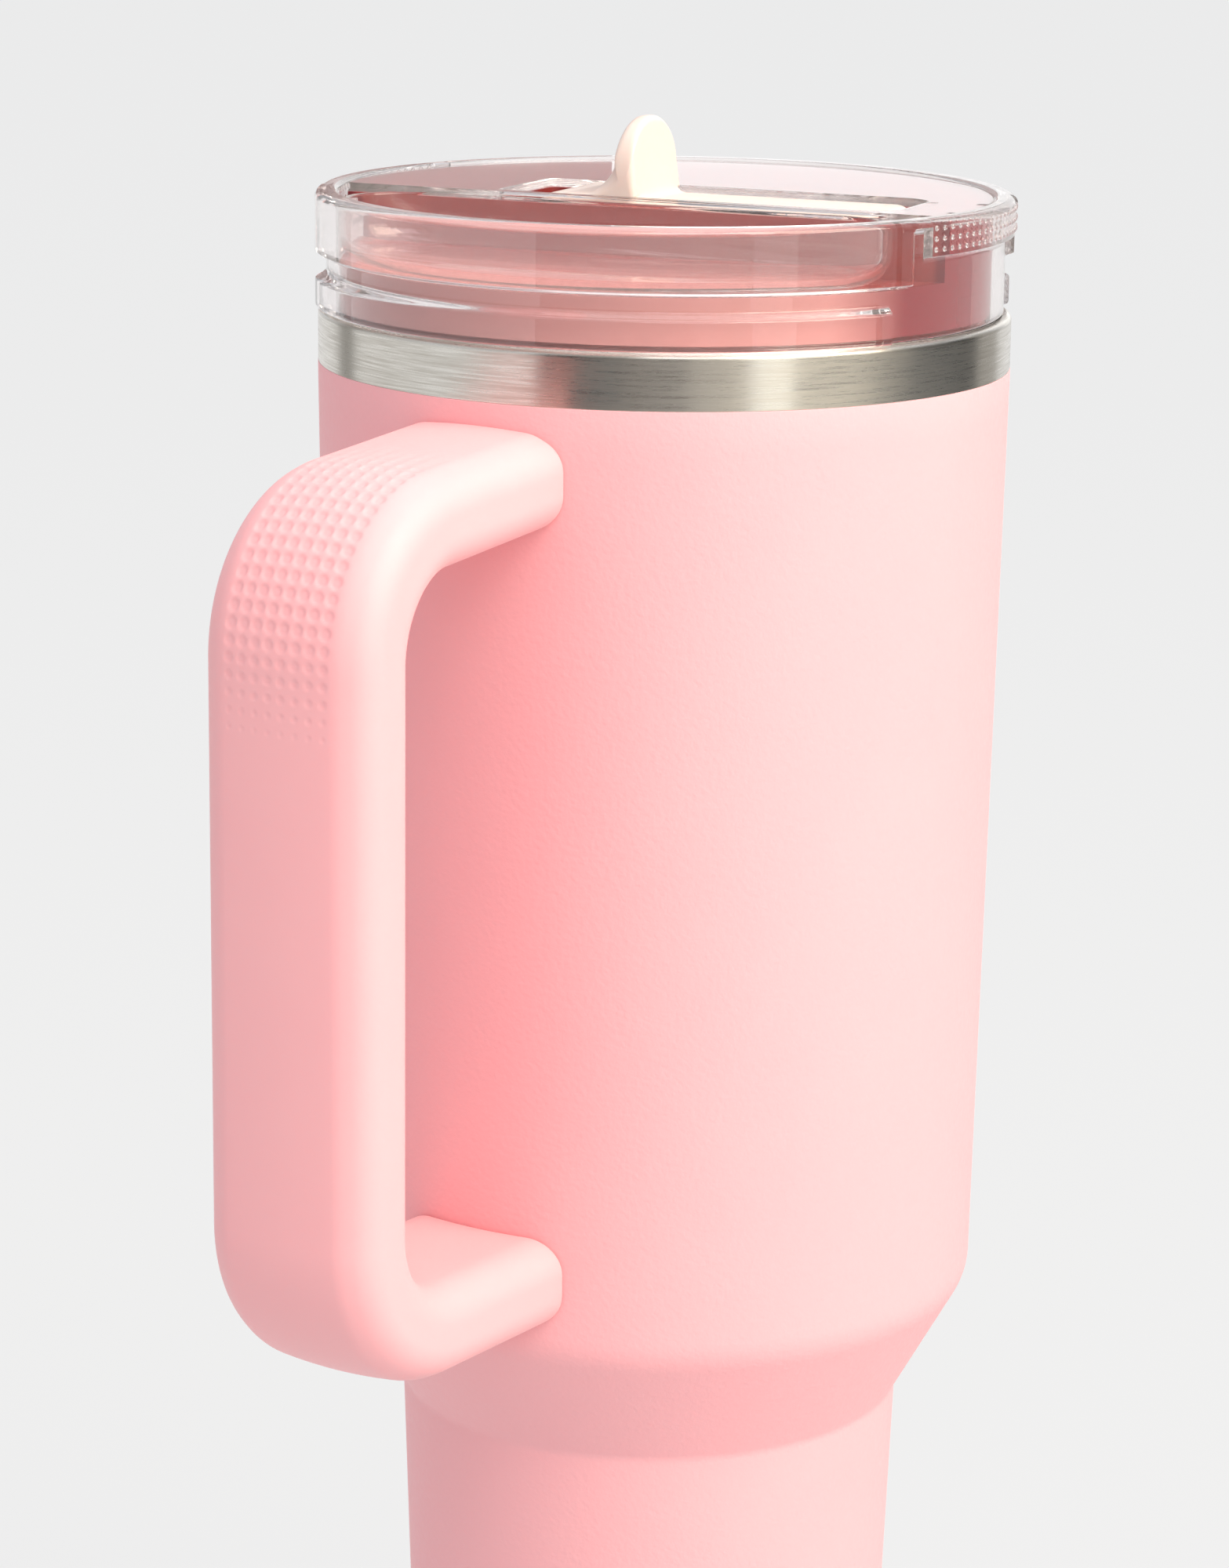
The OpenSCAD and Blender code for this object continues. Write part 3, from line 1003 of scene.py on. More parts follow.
@dataclass
class Handle:
    """The carry handle: a round-cornered section carried along two arms, two bends and the grip.

    Attributes:
        vessel: the vessel that it is fixed to.
        reach: distance of the outer face from the vessel's axis.
        width: the section's width.
        depth: the section's thickness.
        top_z: height of the outer corner at the top.
        low_z: height of the outer corner at the bottom.
        bend_r: radius of the outer face at both bends.
        rise: slope of the upper arm, degrees.
        drop: slope of the lower arm, degrees.
        gap: space between the skin's ends and the barrel.
        corner: radius of the section's corners.
        crown: how much lower the outer face lies at its edges than in its middle.
        end_edge: radius of the edge round the ends at the barrel.
        screw_x: distance of the screws from the vessel's axis.
        screw_r: radius of the screws' recesses.
        screw_floor: depth of a recess's floor from the section's middle.
        dimple_pitch_across: distance between the dimples' columns.
        dimple_pitch_along: distance between the dimples' rows.
        dimple_columns: number of columns.
        dimple_rows: number of rows.
        dimple_fade: number of rows over which the dimples shrink at the lower end.
        dimple_start: distance of the first row before the bend's crown.
        dimple_r: a dimple's radius.
        dimple_depth: a dimple's depth.
        dimple_edge: width of a dimple's rounded rim.
        fine: spacing of the grid under the dimples.
        fine_low_z: height where that fine grid ends.
    """

    vessel: Vessel
    reach: float = 96.4
    width: float = 26.8
    depth: float = 13.8
    top_z: float = 235.2
    low_z: float = 111.8
    bend_r: float = 24.5
    rise: float = 4.0
    drop: float = 2.5
    gap: float = 0.1
    corner: float = 5.3
    crown: float = 0.45
    end_edge: float = 0.7
    screw_x: float = 62.0
    screw_r: float = 3.0
    screw_floor: float = 3.8
    dimple_pitch_across: float = 2.1
    dimple_pitch_along: float = 2.3
    dimple_columns: int = 8
    dimple_rows: int = 24
    dimple_fade: float = 7.0
    dimple_start: float = 10.0
    dimple_r: float = 0.8
    dimple_depth: float = 0.17
    dimple_edge: float = 0.36
    fine: float = 0.25
    fine_low_z: float = 172.0

    def __post_init__(self) -> None:
        """Works out the centre line: the two bends' centres, radius and angles."""
        up, down = math.radians(self.rise), math.radians(self.drop)
        self.line_r = self.bend_r - self.depth / 2
        self.bend_x = -(self.reach - self.bend_r)
        self.up_z = self.top_z + self.bend_r * math.tan(up) - self.bend_r / math.cos(up)
        self.down_z = self.low_z - self.bend_r * math.tan(down) + self.bend_r / math.cos(down)
        self.start, self.end = math.radians(90 + self.rise), math.radians(270 - self.drop)

    def section(self, inset: float = 0.0) -> np.ndarray:
        """Gives the section as (out, across, distance along it), with close points on the outer face.

        It is a rectangle with round corners: the straights and quarter circles follow each other
        from the middle of the outer face to the middle of the inner one, and the other half is
        its mirror image. The outer face is crowned by `crown` times its squared share of width, and
        the crown fades to nothing at the inner face.

        Args:
            inset: how far the whole section is moved in.

        Returns:
            One row for each point.
        """
        r = self.corner
        flat, side = self.width / 2 - r, self.depth - 2 * r
        turn = r * math.pi / 2
        half = 2 * flat + 2 * turn + side
        q = np.concatenate([np.arange(0, 9.8, 0.24), np.linspace(10.0, half, 50)])
        q = np.concatenate([-q[:0:-1], q[:-1]])
        a = np.abs(q)
        first = np.clip((a - flat) / r, 0, math.pi / 2)
        last = np.clip((a - flat - turn - side) / r, 0, math.pi / 2)
        down = np.clip(a - flat - turn, 0, side)
        r -= inset
        out = self.depth / 2 - inset - r * (1 - np.cos(first)) - down - r * np.sin(last)
        across = np.minimum(a, flat) + r * np.sin(first) - r * (1 - np.cos(last))
        across -= np.clip(a - half + flat, 0, flat)
        share = np.minimum(across / flat, 1.3)
        out = out - self.crown * share**2 * (0.5 + out / self.depth)
        return np.stack([out, np.sign(q) * across, q], -1)

    def to_barrel(self, x: np.ndarray, y: np.ndarray, z: np.ndarray, tx: float, tz: float) -> np.ndarray:
        """Gives how far points lie from the barrel's cone along a direction.

        It solves (x + t tx)^2 + y^2 = (r0 + k (z + t tz))^2 for t, where r0 + k z is the cone.

        Args:
            x: the points' x.
            y: the points' y.
            z: the points' z.
            tx: the direction's x.
            tz: the direction's z.

        Returns:
            The smaller distance t at which each point meets the cone.
        """
        v = self.vessel
        k = (v.barrel_top_r - v.barrel_low_r) / (v.coat_z - v.corner_z)
        r = v.barrel_low_r + self.gap + k * (z - v.corner_z)
        a = tx * tx - (k * tz) ** 2
        b = 2 * (x * tx - r * k * tz)
        c = x * x + y * y - r * r
        return (-b - np.sqrt(np.maximum(b * b - 4 * a * c, 0))) / (2 * a)

    def arm(self, angle: float, centre_z: float, turn: float) -> np.ndarray:
        """Gives one arm's rows, from the closed end on the barrel to the bend.

        Each row is the section at a share of its own distance to the barrel, so the end fits the
        round barrel. The last end_edge turns in by a quarter circle and closes on the centre line.

        Args:
            angle: direction of the outer face at this arm, radians from +X.
            centre_z: height of the bend's centre.
            turn: +1 if the direction to the barrel is the outer face's turned clockwise, -1 otherwise.

        Returns:
            Rows by section points by 3.
        """
        nx, nz = math.cos(angle), math.sin(angle)
        tx, tz = nz * turn, -nx * turn
        sec = self.section()
        edge = self.end_edge
        beta = np.linspace(np.pi / 2, 0, 6)
        turned = [self.section(edge * (1 - math.cos(b)))[:, :2] for b in beta]
        filled = np.linspace(0, 0.93, 7)[:, None, None] * turned[0]
        rows = np.concatenate([filled, np.stack(turned)])
        back = np.concatenate([np.zeros(7), edge * (1 - np.sin(beta))])
        out, across = rows[..., 0], rows[..., 1]
        x0 = self.bend_x + (self.line_r + out) * nx
        z0 = centre_z + (self.line_r + out) * nz
        t = self.to_barrel(x0, across, z0, tx, tz) - back[:, None]
        cap = np.stack([x0 + t * tx, across, z0 + t * tz], -1)
        share = np.concatenate([[0.995, 0.98], np.linspace(0.95, 0.02, 42)])[:, None]
        x1 = self.bend_x + (self.line_r + sec[:, 0]) * nx
        z1 = centre_z + (self.line_r + sec[:, 0]) * nz
        s = share * (self.to_barrel(x1, sec[:, 1], z1, tx, tz) - edge)[None, :]
        arm = np.stack([x1 + s * tx, np.broadcast_to(sec[:, 1], s.shape), z1 + s * tz], -1)
        return np.vstack([cap, arm])

    def middle(self) -> np.ndarray:
        """Gives the rows of both bends and the grip.

        A row's centre lies at bend centre + line_r (cos a, sin a), with a straight grip between the
        bends, and the section's outward side points along (cos a, sin a).

        Returns:
            Rows by section points by 3.
        """
        bend = np.linspace(0, 1, 140)
        first = self.start + (math.pi - self.start) * bend
        dimpled = np.arange(self.up_z - self.fine, self.fine_low_z, -self.fine)
        plain = np.linspace(self.fine_low_z - 0.5, self.down_z + 0.5, 30)
        grip_z = np.concatenate([dimpled, plain])
        last = math.pi + (self.end - math.pi) * np.linspace(0, 1, 60)
        angle = np.concatenate([first, np.full(len(grip_z), math.pi), last])
        base = np.concatenate([np.full(len(first), self.up_z), grip_z, np.full(len(last), self.down_z)])
        sec = self.section()
        far = self.line_r + sec[None, :, 0]
        x = self.bend_x + far * np.cos(angle)[:, None]
        z = base[:, None] + far * np.sin(angle)[:, None]
        return np.stack([x, np.broadcast_to(sec[:, 1], x.shape), z], -1)

    def dimples(self, points: np.ndarray) -> np.ndarray:
        """Presses rows of dimples into the outer face over the upper bend.

        With d the distance from a dimple's middle, measured along the face, a dimple is a
        flat-floored well: dimple_depth smooth((r - d) / dimple_edge + 0.5). Its depth fades at both
        ends of the rows, and its radius at the lower end.

        Args:
            points: the handle's rows by section points by 3.

        Returns:
            The same rows with the dimples pressed in.
        """
        sec = self.section()
        middle = int(np.argmin(np.abs(sec[:, 2])))
        path = points[:, middle]
        s = np.concatenate([[0], np.cumsum(np.linalg.norm(np.diff(path, axis=0), axis=1))])
        crown = s[int(np.argmin(np.abs(path[:, 2] - (self.up_z + self.bend_r * 0.99))))]
        row = (s - crown + self.dimple_start) / self.dimple_pitch_along
        near = np.clip(np.round(row), 0, self.dimple_rows - 1)
        ds = (row - near) * self.dimple_pitch_along
        half = (self.dimple_columns - 1) / 2
        col = sec[:, 2] / self.dimple_pitch_across + half
        close = np.clip(np.round(col), 0, self.dimple_columns - 1)
        dq = (col - close) * self.dimple_pitch_across
        left = np.clip((self.dimple_rows - near) / self.dimple_fade, 0, 1)
        fade = smooth((near + 2) / 9) * (0.35 + 0.65 * left)
        radius = self.dimple_r * (0.3 + 0.7 * left)
        d = np.hypot(ds[:, None], dq[None, :])
        press = self.dimple_depth * fade[:, None] * smooth((radius[:, None] - d) / self.dimple_edge + 0.5)
        along = np.gradient(points, axis=0)
        side = np.gradient(points, axis=1)
        normal = np.cross(along, side)
        normal /= np.maximum(np.linalg.norm(normal, axis=2, keepdims=True), 1e-9)
        inside = path.mean(0) - points
        normal *= np.sign((normal * inside).sum(2, keepdims=True))
        return points + normal * press[:, :, None]

    def screw_well(self, upper: bool) -> Patch:
        """Gives the closed cylinder that a screw's recess cuts from an arm's underside.

        Args:
            upper: whether it is the upper arm.

        Returns:
            The recess's closed surface.
        """
        angle = self.start if upper else self.end
        nx, nz = math.cos(angle), math.sin(angle)
        tx, tz = (nz, -nx) if upper else (-nz, nx)
        centre_z = self.up_z if upper else self.down_z
        t = -self.bend_x - self.screw_x
        at_x, at_z = self.bend_x + self.line_r * nx + t * tx, centre_z + self.line_r * nz + t * tz
        at = np.array([at_x, 0.0, at_z])
        down = -np.array([nx, 0, nz]) if upper else np.array([nx, 0, nz])
        side = np.array([tx, 0, tz])
        depth = np.array([self.screw_floor] * 2 + [9.0, 9.0])
        r = np.array([0.0, self.screw_r, self.screw_r, 0.0])
        a = np.arange(48)[:, None] * 2 * np.pi / 48
        ring = np.cos(a)[..., None] * side + np.sin(a)[..., None] * np.array([0, 1.0, 0])
        points = at + depth[None, :, None] * down + r[None, :, None] * ring
        return Patch(points, wrap_cols=False)

    def build(self) -> None:
        """Builds the skin and dresses what is inside it."""
        upper = self.arm(self.start, self.up_z, 1)
        lower = self.arm(self.end, self.down_z, -1)[::-1]
        points = self.dimples(np.vstack([upper, self.middle(), lower]))
        skin = mesh_piece("handle_grip", [Patch(points, wrap_rows=False)])
        skin = bored(skin, [self.screw_well(True), self.screw_well(False)])
        place(skin, Body.VESSEL, Finishes.GRIP, Slot.GRIP, "handle_skin")
        dress(Finishes.CORE, "handle_core")
        dress(Finishes.SCREW, "handle_screws")


# ---------------------------------------------------------------- lid


@dataclass
class LidFrame:
    """Where the lid's own drawing stands: its rim at z = 0, its scoop toward -X.

    Attributes:
        top_z: height of the lid's rim.
        turn: how far the lid is turned, degrees.
    """

    top_z: float = 266.0
    turn: float = 8.0

    def set_down(self, points: np.ndarray) -> np.ndarray:
        """Turns points about Z by the lid's turn and lifts them to the rim.

        Args:
            points: points in the lid's own drawing.

        Returns:
            The same points in the part's frame.
        """
        a = math.radians(self.turn)
        spin = np.array([[math.cos(a), -math.sin(a), 0], [math.sin(a), math.cos(a), 0], [0, 0, 1]])
        return points @ spin.T + np.array([0, 0, self.top_z])


def moon_outline(radius: float, edge: float, side: int, corner: float) -> np.ndarray:
    """Gives the outline of a circle cut by a straight edge, with round corners.

    A corner's centre lies `corner` inside both: at x = edge + side corner and radius - corner from
    the middle.

    Args:
        radius: the circle's radius.
        edge: the straight edge's x.
        side: +1 keeps the part beyond the edge toward +X, -1 the part toward -X.
        corner: radius of the two corners.

    Returns:
        The outline's points, in order.
    """
    cx = edge + side * corner
    cy = math.sqrt((radius - corner) ** 2 - cx**2)
    meet = math.atan2(cy, cx * side)
    big = np.linspace(-meet, meet, 200)
    small = np.linspace(meet, math.pi, 24)[1:]
    arc = radius * np.stack([np.cos(big), np.sin(big)], -1)
    top = np.array([cx * side, cy]) + corner * np.stack([np.cos(small), np.sin(small)], -1)
    low = top[::-1] * np.array([1, -1])
    whole = divided(np.vstack([arc, top, low]), 0.8, closed=True)
    return whole * np.array([side, 1])


def round_rectangle(x: float, y0: float, y1: float, front: float, back: float) -> np.ndarray:
    """Gives the outline of a rectangle of half width x from y0 to y1 with its corners' radii."""
    corners = [[x, y0], [x, y1], [-x, y1], [-x, y0]]
    return divided(rounded(corners, [front, back, back, front], True, 7), 0.8, True)


def polar(outline: np.ndarray, centre: np.ndarray, angles: np.ndarray) -> np.ndarray:
    """Gives an outline's distance from a centre that sees all of it, at each angle.

    Args:
        outline: the closed outline.
        centre: the centre.
        angles: directions in radians.

    Returns:
        One distance for each angle.
    """
    d = outline - centre
    a, r = np.arctan2(d[:, 1], d[:, 0]), np.hypot(d[:, 0], d[:, 1])
    order = np.argsort(a)
    return np.interp(angles, a[order], r[order], period=2 * np.pi)


def angles_of(outline: np.ndarray, centre: np.ndarray) -> np.ndarray:
    """Gives the directions of an outline's points from a centre."""
    return np.arctan2(outline[:, 1] - centre[1], outline[:, 0] - centre[0])


@dataclass
class Lid:
    """The clear lid: a grooved outer ring, a deck with the spout's slot, and the scoop in front.

    Attributes:
        stand: where the lid stands.
        radius: the ring's outer radius.
        height: the ring's height.
        inner_r: the ring's inner radius.
        scoop_x: the scoop's straight edge.
        deck_z: the deck's top.
        floor_z: the scoop's floor.
        skin: thickness of the deck and the scoop.
        step_depth: how deep the groove, the notches and the space under the panels are.
        groove_low: height of the groove's lower edge.
        groove_top: height of the groove's upper edge.
        panel_half: half a side panel's angle, degrees.
        notch_half: angle from a panel's middle to the end of the upper band, degrees.
        band_half: angle from a panel's middle to the end of the lower band, degrees.
        panel_in: how far a panel lies under the ring's radius.
        panel_low: height of a panel's lower edge.
        panel_top: height where a notch begins under the rim.
        dot_rows: heights of the rows of dots.
        dot_pitch: angle between dots, degrees.
        dot_r: a dot's radius.
        slot_half: half the width of the spout's slot.
        slot_y: the slot's two ends.
        slot_r: radii of the slot's corners at its two ends.
        gap: space between the deck's or the scoop's edge and the ring.
    """

    stand: LidFrame
    radius: float = 50.2
    height: float = 16.6
    inner_r: float = 46.9
    scoop_x: float = -11.2
    deck_z: float = -0.4
    floor_z: float = -8.1
    skin: float = 1.2
    step_depth: float = 1.6
    groove_low: float = -11.3
    groove_top: float = -8.8
    panel_half: float = 21.0
    notch_half: float = 25.0
    band_half: float = 29.0
    panel_in: float = 0.3
    panel_low: float = -5.3
    panel_top: float = -1.5
    dot_rows: tuple[float, ...] = (-1.35, -2.8, -4.25)
    dot_pitch: float = 2.1
    dot_r: float = 0.42
    slot_half: float = 9.3
    slot_y: tuple[float, float] = (-37.6, 22.1)
    slot_r: tuple[float, float] = (5.0, 1.6)
    gap: float = 0.06

    def cut_depth(self, angle: np.ndarray, z: np.ndarray) -> np.ndarray:
        """Gives how deep the ring's outer face lies under its radius.

        With d the angle from the nearest side panel's middle: the groove lies between the upper and
        the lower band, the notch between the panel and the upper band, the space under the panel
        reaches the foot, and the lower band ends at d = band_half. All are equally deep. The panel
        itself lies panel_in under the ring's radius, so its dots stay inside that radius.

        Args:
            angle: angles in the lid's own drawing, degrees.
            z: heights.

        Returns:
            Depths on the grid of angle by height.
        """
        side = np.abs((angle[:, None] % 180) - 90)
        z = z[None, :]
        groove = smooth((z - self.groove_low) / 1.3 + 1) * smooth((self.groove_top - z) / 0.7 + 0.3)
        groove = groove * smooth((side - self.notch_half + 1) / 0.8)
        notch = smooth((self.panel_top - z) / 0.5 + 0.5)
        notch = notch * window(side, self.panel_half, self.notch_half, 0.6)
        under = smooth((self.panel_low - z) / 0.5 + 0.5) * smooth((self.notch_half - side) / 0.6 + 0.5)
        foot = smooth((self.groove_top - z) / 0.7 + 0.3) * smooth((self.band_half - side) / 0.9 + 0.5)
        panel = smooth((self.panel_half - side) / 0.6 + 0.5)
        steps = np.maximum.reduce([groove, notch, under, foot])
        return np.maximum(self.step_depth * steps, self.panel_in * panel)

    def ring(self) -> bpy.types.Object:
        """Builds the ring: its section turned about Z, less the depth of cut on the outer face.

        Returns:
            The piece.
        """
        low = -self.height
        corners = [[self.inner_r, low], [self.radius, low], [self.radius, 0], [self.inner_r, 0]]
        base = rounded(corners, [0.25, 0.45, 1.2, 0.9], True, 9)
        steps = [self.groove_low - 0.65, self.groove_top + 0.15, self.panel_low, self.panel_top]
        z_marks = steps_near(steps, 0.34)
        z_marks = np.concatenate([z_marks, np.linspace(-13, -8.2, 25)])
        plain = np.linspace(low + 0.7, self.panel_top, 16)
        zs = np.unique(np.round(np.concatenate([z_marks, plain]), 4))
        zs = zs[(zs > low + 0.6) & (zs < -1.45)]
        split = int(np.argmax((base[:-1, 0] > 50) & (np.diff(base[:, 1]) > 5))) + 1
        outer = np.stack([np.full(len(zs), self.radius), zs], -1)
        loop = np.vstack([base[:split], outer, base[split:]])
        loop = divided(loop, 2.0, True)
        is_outer = loop[:, 0] > 49.0
        ends = (self.panel_half, self.notch_half, self.band_half)
        edges = [mid + side * end for mid in (90, 270) for side in (-1, 1) for end in ends]
        close = [steps_near(edges, width) for width in (0.7, 1.3)]
        theta = np.unique(np.round(np.concatenate([np.arange(0, 360, 1.2), *close]), 4))
        cut = self.cut_depth(theta, loop[:, 1]) * is_outer
        r = loop[None, :, 0] - cut
        t = np.radians(theta)[:, None]
        points = np.stack([r * np.cos(t), r * np.sin(t), np.broadcast_to(loop[:, 1], r.shape)], -1)
        piece = mesh_piece("lid_ring", [Patch(self.stand.set_down(points))])
        return place(piece, Body.LID, Finishes.CLEAR, Slot.CLEAR, "lid_shell")

    def plate(
        self,
        inner: np.ndarray,
        outer: np.ndarray,
        centre: np.ndarray,
        top: float,
        low: float,
        edge: float,
    ) -> np.ndarray:
        """Gives a flat plate between two outlines, with rounded edges.

        The section from the inner to the outer outline is a rectangle with round corners, placed at
        inner(a) + w (outer(a) - inner(a)) at each angle a about the centre.

        Args:
            inner: the hole's outline.
            outer: the plate's outline.
            centre: a point that sees all of both outlines.
            top: height of the top face.
            low: height of the bottom face.
            edge: radius of the edges.

        Returns:
            Points on a grid of angle by section.
        """
        a = np.unique(np.round(np.concatenate([angles_of(inner, centre), angles_of(outer, centre)]), 5))
        r0, r1 = polar(inner, centre, a), polar(outer, centre, a)
        turn = np.linspace(0, np.pi / 2, 5)
        rise, run = edge * np.sin(turn), edge * (1 - np.cos(turn))
        shift = np.concatenate([run[::-1], [edge + 0.1], [0] * 7, [-edge - 0.1], -run])
        share = np.concatenate([[0] * 6, np.linspace(0.05, 0.95, 7), [1] * 6])
        z = np.concatenate([top - edge + rise, [top] * 9, top - edge + rise[::-1]])
        zb = np.concatenate([low + edge - rise, [low] * 9, low + edge - rise[::-1]])
        shift, share = np.concatenate([shift, shift[::-1]]), np.concatenate([share, share[::-1]])
        z = np.concatenate([z, zb[::-1]])
        r = r0[:, None] * (1 - share) + r1[:, None] * share + shift
        x = centre[0] + r * np.cos(a)[:, None]
        y = centre[1] + r * np.sin(a)[:, None]
        return np.stack([x, y, np.broadcast_to(z, x.shape)], -1)

    def deck(self) -> bpy.types.Object:
        """Builds the deck over the rose core: a D-shaped plate round the spout's slot.

        Returns:
            The piece.
        """
        centre = np.array([0.0, -7.0])
        slot = round_rectangle(self.slot_half, *self.slot_y, *self.slot_r)
        outline = moon_outline(self.inner_r - self.gap, self.scoop_x, 1, 0.8)
        points = self.plate(slot, outline, centre, self.deck_z, self.deck_z - self.skin, 0.35)
        piece = mesh_piece("lid_deck", [Patch(self.stand.set_down(points))])
        return place(piece, Body.LID, Finishes.CLEAR, Slot.CLEAR)

    def scoop(self) -> bpy.types.Object:
        """Builds the scoop: a thin half-moon basin.

        Its section runs from the middle of the floor out to the outline less the floor's fillet, up
        a wall, round the top edge and back outside, one skin away.

        Returns:
            The piece.
        """
        centre = np.array([-26.0, 0.0])
        outline = moon_outline(self.inner_r - 0.08, self.scoop_x - self.gap, -1, 9.5)
        a = np.unique(np.round(angles_of(outline, centre), 5))
        r = polar(outline, centre, a)
        t, bend = self.skin, 3.2
        turn = np.linspace(0, np.pi / 2, 9)
        top = -1.0
        in_d = np.concatenate([t + bend * (1 - np.sin(turn)), [t] * 4])
        wall_z = np.linspace(-4.4, top - 0.6, 4)
        in_z = np.concatenate([self.floor_z + bend * (1 - np.cos(turn)), wall_z])
        cap = np.linspace(0, np.pi, 8)
        cap_d, cap_z = t / 2 + t / 2 * np.cos(cap), top - 0.5 + 0.5 * np.sin(cap)
        big = bend + t
        out_d = np.concatenate([[0] * 4, big * (1 - np.sin(turn[::-1]))])
        under_z = self.floor_z - t + big * (1 - np.cos(turn[::-1]))
        out_z = np.concatenate([np.linspace(top - 0.6, -4.6, 4), under_z])
        d = np.concatenate([in_d, cap_d, out_d])
        z = np.concatenate([in_z, cap_z, out_z])
        floor = np.linspace(0, 1, 8)[:-1]
        wall = r[:, None] - d[None, :]
        inside = floor[None, :] * wall[:, :1]
        under = floor[None, ::-1] * wall[:, -1:]
        far = np.hstack([inside, wall, under])
        zs = np.concatenate([np.full(7, self.floor_z), z, np.full(7, self.floor_z - t)])
        x = centre[0] + far * np.cos(a)[:, None]
        y = centre[1] + far * np.sin(a)[:, None]
        points = np.stack([x, y, np.broadcast_to(zs, x.shape)], -1)
        piece = mesh_piece("lid_scoop", [Patch(self.stand.set_down(points), wrap_cols=False)])
        return place(piece, Body.LID, Finishes.CLEAR, Slot.CLEAR)

    def dots(self) -> bpy.types.Object:
        """Builds the grip dots: low domes in three rows on each side panel.

        A dome's point at (u, v) lies r sin v round its middle and 0.7 r cos v above the ring.

        Returns:
            The piece.
        """
        count = int(self.panel_half / self.dot_pitch)
        around = np.arange(-count + 0.5, count, 1) * self.dot_pitch
        mid = np.add.outer([90.0, 270.0], around).ravel()
        m, zc = (g.ravel() for g in np.meshgrid(mid, self.dot_rows))
        u = np.arange(8) * np.pi / 4
        v = np.linspace(0, np.pi / 2, 4)
        su, h = np.sin(v), np.cos(v)
        lift = 0.7 * self.dot_r * h
        face = self.radius - self.panel_in
        patches = []
        for angle, z in zip(m, zc):
            a = math.radians(angle)
            out = np.array([math.cos(a), math.sin(a), 0])
            side = np.array([-math.sin(a), math.cos(a), 0])
            ring = np.cos(u)[:, None, None] * side + np.sin(u)[:, None, None] * np.array([0, 0, 1.0])
            dome = (face - 0.02 + lift)[None, :, None] * out + self.dot_r * su[None, :, None] * ring
            base = dome[:, -1:] * 0 + (face - 0.06) * out
            points = np.concatenate([dome, base], 1) + np.array([0, 0, z])
            patches.append(Patch(self.stand.set_down(points), wrap_cols=False))
        piece = mesh_piece("lid_grip_dots", patches)
        return place(piece, Body.LID, Finishes.CLEAR, Slot.CLEAR)

    def build(self) -> None:
        """Builds the lid's clear pieces and dresses its core, seals, pins and straw."""
        for piece in (self.ring(), self.deck(), self.scoop(), self.dots()):
            piece.visible_shadow = False
        dress(Finishes.ROSE, "lid_core")
        dress(Finishes.SEAL, "lid_gasket")
        dress(Finishes.PALE, "spout_seal", "vent_valve", "straw_connector")
        dress(Finishes.SCREW, "hinge_pins")
        dress(Finishes.STRAW, "drinking_straw")


# ---------------------------------------------------------------- spout


